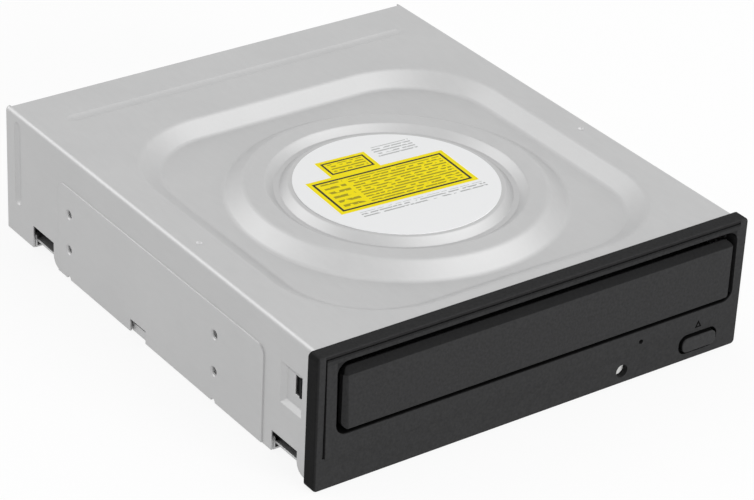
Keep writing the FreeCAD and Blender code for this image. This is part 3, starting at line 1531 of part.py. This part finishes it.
deck("sled_motor", less(
    cyl("Y", (d.screw_x, d.screw_z), sled_motor_span, d.sled_motor_radius),
    cyl("Y", (d.screw_x, d.screw_z), socket_span, d.screw_radius + d.play),
))
deck("lead_screw", cyl("Y", (d.screw_x, d.screw_z), (sled_motor_span[1] - 1.5, screw_end), d.screw_radius))
holder_x = (d.screw_x - 5.0, d.screw_x + 5.0)
deck("screw_bracket", less(
    join(
        box(holder_x, (sled_motor_span[1], sled_motor_span[1] + 0.8), (d.screw_z - 5, d.screw_z + 5)),
        box(holder_x, (screw_end - 1.2, screw_end - 0.4), (d.screw_z - 5, d.screw_z + 3.4)),
        box(holder_x, (sled_motor_span[1], screw_end - 0.4), (d.screw_z - 5.8, d.screw_z - 5)),
    ),
    cyl("Y", (d.screw_x, d.screw_z), (sled_motor_span[1] - 1, screw_end + 1), d.screw_radius + d.play),
))

# Electronics on the main board
board_edge = seat + 1.5
strip_left = light_x - 4.5
strip_right = wall_in - 0.2
board = Moulding("board_panel")
board.pad("XY", (d.board_low, board_high), path(
    (strip_left, board_edge), (strip_right, board_edge), (strip_right, seat + 24), (board_half, seat + 24),
    (board_half, rear - 1.6), (-board_half, rear - 1.6), (-board_half, rear - 68), (strip_left, rear - 68),
))
board.pocket("XY", (d.board_low - 1, board_high + 1), *board_screw_circles(1.2))
node("main_board", board.body)
node("board_screws", group(*[
    screw(as_size(x), board_screw_y, (d.board_low - 1, d.board_low), (d.board_low, board_high + 3.8),
          as_size(2.0), as_size(1.0))
    for x in BOARD_SCREWS
]))


def chip(x, y, w, deep, high):
    return box((as_size(x - w / 2), as_size(x + w / 2)), (rear - y - deep / 2, rear - y + deep / 2),
               (board_high, board_high + high))


node("drive_controller", chip(-6.0, 46.0, 20.0, 20.0, 1.4))
node("motor_driver", chip(-38.0, 48.0, 9.0, 18.0, 1.6))
node("memory_chips", group(chip(20.0, 42.0, 8.0, 14.0, 1.1), chip(20.0, 60.0, 6.0, 5.0, 1.5)))
node("ribbon_sockets", group(
    chip(-8.0, 64.5, 26.0, 4.0, 2.2),
    chip(-38.0, 64.5, 14.0, 4.0, 2.2),
    chip(40.0, 104.0, 4.0, 12.0, 2.2),
))
node("board_capacitors", group(*[
    cyl("Z", (as_size(x), rear - y), (board_high, board_high + 4.5), 2.5)
    for x, y in ((-46.0, 28.0), (-30.0, 26.0), (40.0, 28.0))
]))
pad_low = d.case_base + d.sheet
node("thermal_pads", group(
    box((as_size(-14.0), as_size(2.0)), (rear - 54, rear - 38), (pad_low, d.board_low)),
    box((as_size(-43.0), as_size(-33.0)), (rear - 56, rear - 40), (pad_low, d.board_low)),
))


# Rear connector: one block with a data and a power port, each with its keyed tongue
def make_plug():
    back = rear - 0.3
    body = Moulding("plug_block")
    body.pad("XZ", (back - d.plug_depth, back), rect((plug_left, plug_right), (board_high, d.plug_high)))
    mid = (board_high + d.plug_high) / 2
    ports = ((plug_right - 14, plug_right - 2.6), (plug_left + 2.0, plug_left + 23.6))
    body.pocket("XZ", (back - 7.5, back + 1), *[rect(x, (mid - 2.5, mid + 2.5)) for x in ports])
    for x in ports:
        body.pad("XZ", (back - 8, back - 0.6), path(
            (x[0] + 1.2, mid - 0.6), (x[1] - 1.2, mid - 0.6), (x[1] - 1.2, mid + 1.6),
            (x[1] - 2.4, mid + 1.6), (x[1] - 2.4, mid + 0.6), (x[0] + 1.2, mid + 0.6),
        ))
    return body.body


node("rear_connector", make_plug())

doc.recompute()

# Lower the lift frame and its deck to the loading position, about the rear pivot
pivot = V(0, num(pivot_y), num(d.pivot_z))
lower = FreeCAD.Placement(V(), FreeCAD.Rotation(V(1, 0, 0), SIZES["lift_angle"]), pivot)
for item in LIFTED:
    name = item.Label
    item.Label = name + "_level"
    shown = doc.addObject("Part::Compound", "Lowered")
    shown.Links = [item]
    shown.Placement = lower
    node(name, shown)

doc.recompute()

bad = []
for item in doc.Objects:
    if "Invalid" in item.State or "Error" in item.State:
        bad.append("%s (%s) %s" % (item.Name, item.Label, item.State))
for name, item in NODES.items():
    if item.Shape.isNull() or not item.Shape.isValid():
        bad.append("%s has no valid shape" % name)
    elif not item.Shape.Solids:
        bad.append("%s has no solid" % name)
if bad:
    raise RuntimeError("; ".join(bad))

os.makedirs("parts", exist_ok=True)
for name, item in NODES.items():
    item.Shape.exportStep("parts/%s.step" % name)
    box_of = item.Shape.BoundBox
    print("%-18s solids %d  volume %.0f  x %.2f..%.2f  y %.2f..%.2f  z %.2f..%.2f" % (
        name, len(item.Shape.Solids), item.Shape.Volume,
        box_of.XMin, box_of.XMax, box_of.YMin, box_of.YMax, box_of.ZMin, box_of.ZMax))
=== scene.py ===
import math

import bmesh
import bpy
from mathutils import Matrix, Vector


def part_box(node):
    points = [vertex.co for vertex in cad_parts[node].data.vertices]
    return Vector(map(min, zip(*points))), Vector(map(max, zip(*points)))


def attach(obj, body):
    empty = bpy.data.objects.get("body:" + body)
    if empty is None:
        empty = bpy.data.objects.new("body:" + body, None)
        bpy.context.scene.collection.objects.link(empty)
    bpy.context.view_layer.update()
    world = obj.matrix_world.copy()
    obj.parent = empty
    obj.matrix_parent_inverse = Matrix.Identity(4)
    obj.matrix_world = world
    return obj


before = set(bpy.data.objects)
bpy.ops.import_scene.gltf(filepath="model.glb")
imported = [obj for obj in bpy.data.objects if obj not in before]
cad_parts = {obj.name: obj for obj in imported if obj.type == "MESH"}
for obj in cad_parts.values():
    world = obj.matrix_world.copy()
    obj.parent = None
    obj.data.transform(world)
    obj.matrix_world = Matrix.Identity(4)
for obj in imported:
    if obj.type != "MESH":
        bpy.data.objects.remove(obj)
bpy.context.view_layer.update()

# Places on the drive, in millimetres
MM = 0.001
HUB_Y = -15.0
BEZEL_FACE = -84.0
BEZEL_END = 73.75
BUTTON_RECESS = ((51.0, 68.0), (2.0, 9.0))
TRAY_MOUTH = ((-68.25, 70.5), (16.0, 38.95))
LEDGE = ((-71.5, 71.5), (38.95, 40.1))
GROOVE = ((-72.0, 71.5), (40.1, 41.7))
DOOR_BROW = 33.95
DOOR_LEFT_SLOPE = -64.2
BUTTON_FACE = -84.6
MARK_CORNERS = ((57.5, 10.75), (59.9, 10.75), (58.65, 12.95))
MARK_LINE = 0.36
MARK_THICK = 0.15
MARK_FRONT = -84.66
HOLE_ROWS = (-32.0, 47.25)
HOLE_HEIGHTS = (10.35, 22.19)
THREAD_START = 72.5
THREAD_HALF_PITCH = 0.25
THREAD_CREST = 1.1
THREAD_ROOT = 1.27
THREAD_OUTSIDE = 1.3

# Painted shade on the walls, recesses and slopes of the front: the shaded colour's share of the
# plain colour, then how much of that shade each place gets, from 0 to 1
PAINTED_SHADE_TONE = 0.2
GROOVE_SHADE = 0.55
LEDGE_SHADE = 0.2
END_SHADE = 0.5
BROW_SHADE = 0.55
SLOPE_SHADE = 0.2

# The sticker, in millimetres from the hub: left, right, low and high of each area
LABEL_SKEW = -3.5
SMALL_PANEL = (-15.4, 1.5, 11.2, 20.8)
LARGE_PANEL = (-24.1, 22.5, -9.1, 11.25)
RULED_AREAS = (
    # area, spacing of its bars and strength of the ink
    ((-20.8, -13.6, -5.6, 8.6), 2.7, 0.6),
    ((-12.2, 19.6, -6.2, 8.4), 1.42, 0.62),
    ((-12.6, -1.0, 13.8, 18.4), 1.4, 0.6),
    ((-19.0, 23.0, -13.2, -10.4), 1.3, 0.5),
    ((4.0, 17.5, 16.0, 22.0), 1.4, 0.45),
)
BAR_SHARE = 0.45

# Black plastics of the front
BEZEL_BLACK = (0.026, 0.026, 0.0265)
BUTTON_BLACK = (0.031, 0.031, 0.0315)
RESIST_GREEN = (0.012, 0.1, 0.035)

# Studio, in metres and watts; only a mirrored lamp shows in the steel
WHITE = (1.0, 1.0, 1.0)
SKY_LEVEL = 0.53
FLOOR_HALF = 6.0
FLOOR_WHITE = 0.88
LAMP_AIM = Vector((0.0, 0.0, 0.02))
LAMPS = (
    # name, place, size, power, mirrored
    ("overhead", (0.75, -0.7, 1.35), 1.85, 10.3, True),
    ("front", (0.35, -1.7, 0.3), 0.9, 32.0, False),
    ("rear_left", (-0.8, 1.1, 0.95), 1.25, 6.0, True),
)

# The photograph's viewpoint, fitted to the drive's corners and side holes
CAMERA_PLACE = Vector((-0.456235, -0.619202, 0.448286))
CAMERA_AIM = Vector((0.0, 0.0006, 0.020))
CAMERA_TURN = Vector((0.008, 0.005, -0.047))
SENSOR_WIDTH = 36.0
FOCAL_PIXELS = 2974.97
PHOTO_WIDTH = 754


class Field:
    """A shader value that takes part in sums."""

    def __init__(self, nodes, socket):
        self.nodes = nodes
        self.socket = socket

    def sum(self, operation, first, second):
        return self.nodes.node("ShaderNodeMath", {"operation": operation}, {0: first, 1: second})

    def __add__(self, other):
        return self.sum("ADD", self, other)

    def __radd__(self, other):
        return self.sum("ADD", other, self)

    def __sub__(self, other):
        return self.sum("SUBTRACT", self, other)

    def __rsub__(self, other):
        return self.sum("SUBTRACT", other, self)

    def __mul__(self, other):
        return self.sum("MULTIPLY", self, other)

    def __rmul__(self, other):
        return self.sum("MULTIPLY", other, self)

    def __mod__(self, other):
        return self.sum("FLOORED_MODULO", self, other)

    def __pow__(self, other):
        return self.sum("POWER", self, other)

    def __gt__(self, other):
        return self.sum("GREATER_THAN", self, other)

    def __lt__(self, other):
        return self.sum("LESS_THAN", self, other)

    def between(self, low, high):
        return (self > low) * (self < high)

    def either(self, other):
        return self.sum("MAXIMUM", self, other)

    def ramp(self, low, high):
        """0 at low, rising evenly to 1 at high."""
        return self.nodes.node(
            "ShaderNodeMapRange", {}, {"Value": self, "From Min": low, "From Max": high})


class Nodes:
    """A node tree that adds nodes by kind, settings and sockets."""

    def __init__(self, tree):
        self.tree = tree

    def feed(self, socket, value):
        if isinstance(value, Field):
            self.tree.links.new(value.socket, socket)
        elif isinstance(value, tuple) and len(value) == 3 and socket.type == "RGBA":
            socket.default_value = (*value, 1.0)
        else:
            socket.default_value = value

    def node(self, kind, settings, sockets, out=0):
        made = self.tree.nodes.new(kind)
        for key, value in settings.items():
            setattr(made, key, value)
        for key, value in sockets.items():
            self.feed(made.inputs[key], value)
        return Field(self, made.outputs[out])

    def background_seen(self):
        """1 on the rays that look straight at the background, or at its mirror image."""
        rays = [self.node("ShaderNodeLightPath", {}, {}, "Is %s Ray" % kind)
                for kind in ("Camera", "Glossy", "Transmission")]
        return rays[0].either(rays[1]).either(rays[2])

    def finish_with(self, output, first, second, share):
        """Send a blend of two shaders to the tree's output."""
        blend = self.node("ShaderNodeMixShader", {}, {0: share, 1: first, 2: second})
        self.feed(self.tree.nodes[output].inputs["Surface"], blend)


class Finish(Nodes):
    """A material: the shader's plain values, and what varies over the surface."""

    def __init__(self, name, colour, roughness, metallic=0.0, **values):
        self.material = bpy.data.materials.new(name)
        self.material.use_nodes = True
        super().__init__(self.material.node_tree)
        self.shader = self.tree.nodes["Principled BSDF"]
        self.tint = colour
        self.set("Base Color", colour)
        self.set("Roughness", roughness)
        self.set("Metallic", metallic)
        for key, value in values.items():
            self.set(key.replace("_", " ").title().replace("Ior", "IOR"), value)

    def set(self, name, value):
        self.feed(self.shader.inputs[name], value)

    def point(self):
        return self.node("ShaderNodeTexCoord", {}, {}, "Object")

    def axes(self):
        """x, y and z in millimetres."""
        point = self.point()
        return [self.node("ShaderNodeSeparateXYZ", {}, {0: point}, axis) * (1.0 / MM)
                for axis in range(3)]

    def noise(self, scale, detail=2.0, stretch=(1.0, 1.0, 1.0)):
        point = self.node("ShaderNodeMapping", {}, {"Vector": self.point(), "Scale": stretch})
        return self.node(
            "ShaderNodeTexNoise", {}, {"Vector": point, "Scale": scale, "Detail": detail})

    def mix(self, share, first, second):
        return self.node(
            "ShaderNodeMix", {"data_type": "RGBA"}, {0: share, 6: first, 7: second}, 2)

    def relief(self, height, distance):
        self.set("Normal", self.node(
            "ShaderNodeBump", {}, {"Height": height, "Distance": distance, "Strength": 1.0}))


def shaded(colour, share):
    return tuple(share * part for part in colour)


def sheet_steel(name, tone):
    """Zinc-plated sheet: satin, with a faint rolled grain, soft clouds and eased edges."""
    edge_radius = 0.4 * MM
    finish = Finish(name, (tone, tone, tone), 0.48, 0.85)
    cloud = finish.noise(38.0, 3.0)
    grain = finish.noise(700.0, 2.0, (1.0, 0.25, 1.0))
    dark = shaded((tone, tone * 1.002, tone * 1.006), 0.915)
    light = shaded((tone, tone, tone), 1.075)
    finish.set("Base Color", finish.mix(cloud * 0.5 + grain * 0.5, dark, light))
    finish.set("Roughness", 0.43 + grain * 0.1)
    finish.set("Normal", finish.node("ShaderNodeBevel", {"samples": 6}, {"Radius": edge_radius}))
    return finish


def moulded(name, colour, roughness, depth=0.05, scale=1150.0):
    """Moulded plastic with a fine spark-eroded texture, `depth` millimetres deep."""
    finish = Finish(name, colour, roughness, specular_ior_level=0.015)
    texture = finish.noise(scale, 2.0)
    finish.tint = finish.mix(texture, shaded(colour, 0.72), shaded(colour, 1.28))
    finish.set("Base Color", finish.tint)
    finish.set("Roughness", roughness - 0.05 + texture * 0.1)
    finish.relief(texture, depth * MM)
    return finish


def plastic_with_painted_shade(name, colour, roughness, shade_mask):
    """Moulded plastic with painted shade: darker where the mask function picks out walls,
    recesses and slopes.
    """
    finish = moulded(name, colour, roughness)
    share = shade_mask(*finish.axes())
    # Blend towards a darker copy of the colour: painted shade
    finish.set("Base Color", finish.mix(share, finish.tint, shaded(colour, PAINTED_SHADE_TONE)))
    return finish


def bezel_painted_shade(x, y, z):
    """Painted shade on the button's recess, the tray mouth, the ledge and groove over it, and
    both ends.
    """
    def front(area):
        across, up = area
        return x.between(*across) * z.between(*up)

    recess = front(BUTTON_RECESS) * y.ramp(BEZEL_FACE + 0.05, BEZEL_FACE + 0.3)
    mouth = front(TRAY_MOUTH) * y.ramp(BEZEL_FACE - 0.3, BEZEL_FACE + 0.2)
    ends = (x * x).ramp(BEZEL_END ** 2, (BEZEL_END + 0.2) ** 2)
    return (recess + mouth + front(GROOVE) * GROOVE_SHADE + front(LEDGE) * LEDGE_SHADE
            + ends * END_SHADE)


def door_painted_shade(x, y, z):
    """Painted shade on the long slope along the door's top and on the one at its left end."""
    brow = z.ramp(DOOR_BROW, DOOR_BROW + 0.3)
    left = x.ramp(DOOR_LEFT_SLOPE, DOOR_LEFT_SLOPE - 1.0)
    return brow * BROW_SHADE + left * SLOPE_SHADE


def button_painted_shade(x, y, z):
    """Painted shade on the button's sides, behind its face."""
    return y.ramp(BUTTON_FACE, BUTTON_FACE + 0.2)


def label_paper():
    """The round sticker: white, with two plain yellow panels, broken ruled bars and no words."""
    white = (0.80, 0.805, 0.81)
    yellow = (0.84, 0.70, 0.002)
    ink = (0.02, 0.02, 0.018)
    skew = math.radians(LABEL_SKEW)
    finish = Finish("label_paper", white, 0.5, specular_ior_level=0.1)
    x, y, z = finish.axes()
    y = y - HUB_Y
    along = x * math.cos(skew) + y * math.sin(skew)
    across = y * math.cos(skew) - x * math.sin(skew)
    broken = finish.noise(620.0, 0.0) > 0.4

    def inside(area, gap=0.0):
        left, right, low, high = area
        return along.between(left + gap, right - gap) * across.between(low + gap, high - gap)

    def panel(colour, area, margin, line):
        """A yellow field with a thin ruled border."""
        colour = finish.mix(inside(area), colour, yellow)
        border = inside(area, margin) - inside(area, margin + line)
        return finish.mix(border, colour, ink)

    colour = panel(white, SMALL_PANEL, 1.2, 0.65)
    colour = panel(colour, LARGE_PANEL, 1.35, 0.75)
    for area, step, strength in RULED_AREAS:
        bars = ((across - area[2]) % step).between(0.0, step * BAR_SHARE)
        colour = finish.mix(inside(area) * bars * broken * strength, colour, ink)
    finish.set("Base Color", colour)
    finish.set("Roughness", 0.46 + finish.noise(500.0) * 0.08)
    return finish


def smooth(name, colour, roughness, metallic=0.0, **values):
    """A turned, ground or polished surface, whose gloss wanders a little."""
    finish = Finish(name, colour, roughness, metallic, **values)
    finish.set("Roughness", roughness - 0.03 + finish.noise(900.0) * 0.06)
    return finish


def ground_steel(name, tone, roughness):
    """Turned or ground bar, bright and smooth."""
    return smooth(name, (tone, tone, tone * 1.01), roughness, 1.0)


def threaded_steel():
    """The lead screw's rolled thread, as rings 1 mm apart along its axis."""
    ring_relief = 0.6 * MM
    finish = ground_steel("rolled_thread", 0.6, 0.3)
    x, y, z = finish.axes()
    flank = y % 1.0
    finish.relief(flank * (1.0 - flank), ring_relief)
    return finish


def circuit_board():
    """Green solder resist over copper runs, with a grid of plated pads."""
    run_spacing, run_width = 1.9, 0.8
    pad_columns, pad_rows, pad_radius_squared = 7.6, 6.4, 0.3
    finish = Finish("solder_resist", RESIST_GREEN, 0.35)
    x, y, z = finish.axes()
    drift = finish.noise(60.0, 1.0) * 6.0
    runs = ((x + drift) % run_spacing).between(0.0, run_width)
    covered = finish.noise(34.0, 0.0) > 0.52
    off_column = (x % pad_columns) - pad_columns / 2
    off_row = (y % pad_rows) - pad_rows / 2
    pads = off_column ** 2.0 + off_row ** 2.0 < pad_radius_squared
    colour = finish.mix(runs * covered, RESIST_GREEN, (0.02, 0.17, 0.06))
    finish.set("Base Color", finish.mix(pads, colour, (0.62, 0.6, 0.52)))
    finish.set("Metallic", pads * 0.9)
    return finish


# A finish for every piece of the frame
steel = sheet_steel("plated_steel", 0.52)
screw_steel = ground_steel("screw_steel", 0.5, 0.34)
bright_bar = ground_steel("bright_bar", 0.62, 0.18)
motor_can = ground_steel("motor_can", 0.56, 0.3)
dark_frame = moulded("frame_plastic", (0.036, 0.036, 0.038), 0.55)
acetal = moulded("natural_acetal", (0.72, 0.72, 0.68), 0.42, 0.01)
chip = moulded("chip_package", (0.022, 0.022, 0.023), 0.5)
rubber = moulded("soft_rubber", (0.028, 0.028, 0.03), 0.75)
FINISHES = {
    "top_cover": steel,
    "bottom_cover": steel,
    "round_label": label_paper(),
    "cover_screws": screw_steel,
    "front_bezel": plastic_with_painted_shade("plastic_with_painted_shade", BEZEL_BLACK, 0.55, bezel_painted_shade),
    "tray_door": plastic_with_painted_shade("door_plastic", BEZEL_BLACK, 0.5, door_painted_shade),
    "eject_button": plastic_with_painted_shade("button_plastic", BUTTON_BLACK, 0.5, button_painted_shade),
    "light_guide": smooth("milky_guide", (0.5, 0.5, 0.49), 0.3, specular_ior_level=0.2),
    "eject_switch": chip,
    "status_light": smooth("clear_lens", (0.8, 0.8, 0.76), 0.12),
    "disc_tray": moulded("tray_plastic", (0.03, 0.03, 0.032), 0.5, 0.03),
    "main_frame": dark_frame,
    "clamp_bracket": steel,
    "bracket_screws": screw_steel,
    "clamper": moulded("pale_clamper", (0.68, 0.68, 0.66), 0.45),
    "clamper_magnet": smooth("sintered_magnet", (0.1, 0.1, 0.1), 0.6, 0.4),
    "clamper_yoke": steel,
    "tray_gear": acetal,
    "pulley_gear": acetal,
    "motor_pulley": acetal,
    "cam_slider": acetal,
    "sled_nut": acetal,
    "motor_shaft": bright_bar,
    "drive_belt": rubber,
    "loading_motor": motor_can,
    "motor_screws": screw_steel,
    "lift_frame": dark_frame,
    "rubber_dampers": rubber,
    "damper_screws": screw_steel,
    "deck_plate": steel,
    "main_guide_rod": bright_bar,
    "second_guide_rod": bright_bar,
    "spindle_base": steel,
    "turntable": moulded("turntable_plastic", (0.04, 0.04, 0.042), 0.4),
    "turntable_ring": rubber,
    "pickup_sled": smooth("die_cast_zinc", (0.5, 0.5, 0.51), 0.5, 0.9),
    "lens_magnets": motor_can,
    "lens_holder": chip,
    "objective_lens": smooth("coated_lens", (0.12, 0.16, 0.3), 0.06, coat_weight=1.0),
    "sled_motor": motor_can,
    "lead_screw": threaded_steel(),
    "screw_bracket": steel,
    "main_board": circuit_board(),
    "board_screws": screw_steel,
    "drive_controller": chip,
    "motor_driver": chip,
    "memory_chips": chip,
    "ribbon_sockets": moulded("socket_plastic", (0.74, 0.72, 0.66), 0.45),
    "board_capacitors": motor_can,
    "thermal_pads": moulded("soft_pad", (0.35, 0.4, 0.5), 0.7),
    "rear_connector": moulded("connector_plastic", (0.02, 0.02, 0.02), 0.45),
}
for node_name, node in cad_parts.items():
    node.data.materials.clear()
    node.data.materials.append(FINISHES[node_name].material)


def piece(name, shape, finish, body):
    """A finished mesh that moves with one of the bodies."""
    mesh = bpy.data.meshes.new(name)
    bmesh.ops.recalc_face_normals(shape, faces=shape.faces)
    shape.to_mesh(mesh)
    shape.free()
    mesh.materials.append(finish.material)
    item = bpy.data.objects.new(name, mesh)
    bpy.context.scene.collection.objects.link(item)
    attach(item, body)
    return item


def block(shape, low, high):
    """A box between two corners in millimetres."""
    size = [(b - a) * MM for a, b in zip(low, high)]
    middle = [(a + b) / 2 * MM for a, b in zip(low, high)]
    place = Matrix.Translation(middle) @ Matrix.Diagonal((*size, 1.0))
    bmesh.ops.create_cube(shape, size=1.0, matrix=place)


def eject_mark():
    """A thin open triangle over the button."""
    shape = bmesh.new()
    face = shape.faces.new([
        shape.verts.new((x * MM, MARK_FRONT * MM, z * MM)) for x, z in MARK_CORNERS])
    face.normal_update()
    line = bmesh.ops.inset_individual(
        shape, faces=[face], thickness=MARK_LINE * MM, use_even_offset=True)["faces"]
    bmesh.ops.delete(shape, geom=[f for f in shape.faces if f not in line], context="FACES")
    bmesh.ops.solidify(shape, geom=shape.faces[:], thickness=MARK_THICK * MM)
    proud = MARK_FRONT * MM - min(v.co.y for v in shape.verts)
    bmesh.ops.translate(shape, verts=shape.verts, vec=(0, proud, 0))
    # The raised outline's near-black colour is painted shade along its edges
    ink = smooth("mark_painted_shade", (0.004, 0.004, 0.004), 0.8, specular_ior_level=0.0)
    piece("eject_mark", shape, ink, "casing")


def connector_contacts():
    """Gilt contact strips on the two tongues of the rear connector."""
    low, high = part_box("rear_connector")
    left, back, middle = low.x / MM, high.y / MM, (low.z + high.z) / 2 / MM
    strip_width = 0.72
    power_tongue = (left + 3.7, 15, 1.2)
    data_tongue = (left + 27.6, 7, 1.12)
    shape = bmesh.new()
    for start, count, pitch in (power_tongue, data_tongue):
        for i in range(count):
            x = start + i * pitch
            block(shape, (x, back - 6.6, middle + 0.58),
                  (x + strip_width, back - 0.9, middle + 0.66))
    gilt = smooth("gilt", (0.78, 0.55, 0.2), 0.25, 1.0)
    piece("connector_contacts", shape, gilt, "casing")


def hole_threads():
    """Rolled threads in the collars of the side holes."""
    half_turns = 5
    turns = [(THREAD_START - THREAD_HALF_PITCH * i, THREAD_CREST if i % 2 else THREAD_ROOT)
             for i in range(half_turns)]
    section = [(THREAD_START, THREAD_OUTSIDE), *turns, (turns[-1][0], THREAD_OUTSIDE)]
    shape = bmesh.new()
    for side in (-1, 1):
        for y in HOLE_ROWS:
            for z in HOLE_HEIGHTS:
                ring = [shape.verts.new((x * side * MM, (y + r) * MM, z * MM))
                        for x, r in section]
                edges = [shape.edges.new(ends) for ends in zip(ring, ring[1:] + ring[:1])]
                bmesh.ops.spin(
                    shape, geom=ring + edges, cent=(0, y * MM, z * MM), axis=(1, 0, 0),
                    angle=math.tau, steps=24, use_merge=True)
    piece("hole_threads", shape, steel, "casing")


def floor():
    """A pale floor that keeps the drive's shadow."""
    ground = bmesh.new()
    bmesh.ops.create_grid(ground, x_segments=1, y_segments=1, size=FLOOR_HALF)
    mesh = bpy.data.meshes.new("studio_floor")
    ground.to_mesh(mesh)
    ground.free()
    item = bpy.data.objects.new("studio_floor", mesh)
    bpy.context.scene.collection.objects.link(item)
    paint = Finish("pale_floor", (0.9, 0.9, 0.9), 0.9)
    lit = Field(paint, paint.shader.outputs[0])
    plain = paint.node("ShaderNodeEmission", {}, {"Color": WHITE, "Strength": 1.0})
    paint.finish_with("Material Output", lit, plain, paint.background_seen() * FLOOR_WHITE)
    mesh.materials.append(paint.material)


def sky():
    """Even light from all round, plain white where the camera or the steel sees it."""
    world = bpy.data.worlds.new("studio")
    bpy.context.scene.world = world
    world.use_nodes = True
    nodes = Nodes(world.node_tree)
    glow = nodes.node("ShaderNodeBackground", {}, {"Color": WHITE, "Strength": SKY_LEVEL})
    plain = nodes.node("ShaderNodeBackground", {}, {"Color": WHITE, "Strength": 1.0})
    nodes.finish_with("World Output", glow, plain, nodes.background_seen())


def lamp(name, place, size, power, mirrored):
    """A soft square lamp turned to the drive."""
    light = bpy.data.lights.new(name, "AREA")
    light.size = size
    light.energy = power
    item = bpy.data.objects.new(name, light)
    item.location = place
    item.rotation_euler = (LAMP_AIM - item.location).to_track_quat("-Z", "Y").to_euler()
    item.visible_camera = False
    item.visible_glossy = mirrored
    bpy.context.scene.collection.objects.link(item)


def camera():
    """The camera at the photograph's viewpoint."""
    back = (CAMERA_PLACE - CAMERA_AIM).normalized()
    right = Vector((0, 0, 1)).cross(back).normalized()
    rows = Matrix((right, back.cross(right), back))
    rows = Matrix.Rotation(CAMERA_TURN.length, 3, CAMERA_TURN.normalized()) @ rows
    data = bpy.data.cameras.new("camera")
    data.sensor_width = SENSOR_WIDTH
    data.lens = FOCAL_PIXELS / PHOTO_WIDTH * SENSOR_WIDTH
    item = bpy.data.objects.new("camera", data)
    item.matrix_world = Matrix.Translation(CAMERA_PLACE) @ rows.transposed().to_4x4()
    bpy.context.scene.collection.objects.link(item)
    bpy.context.scene.camera = item


eject_mark()
hole_threads()
connector_contacts()
bpy.context.scene.view_settings.view_transform = "Standard"
sky()
floor()
for settings in LAMPS:
    lamp(*settings)
camera()
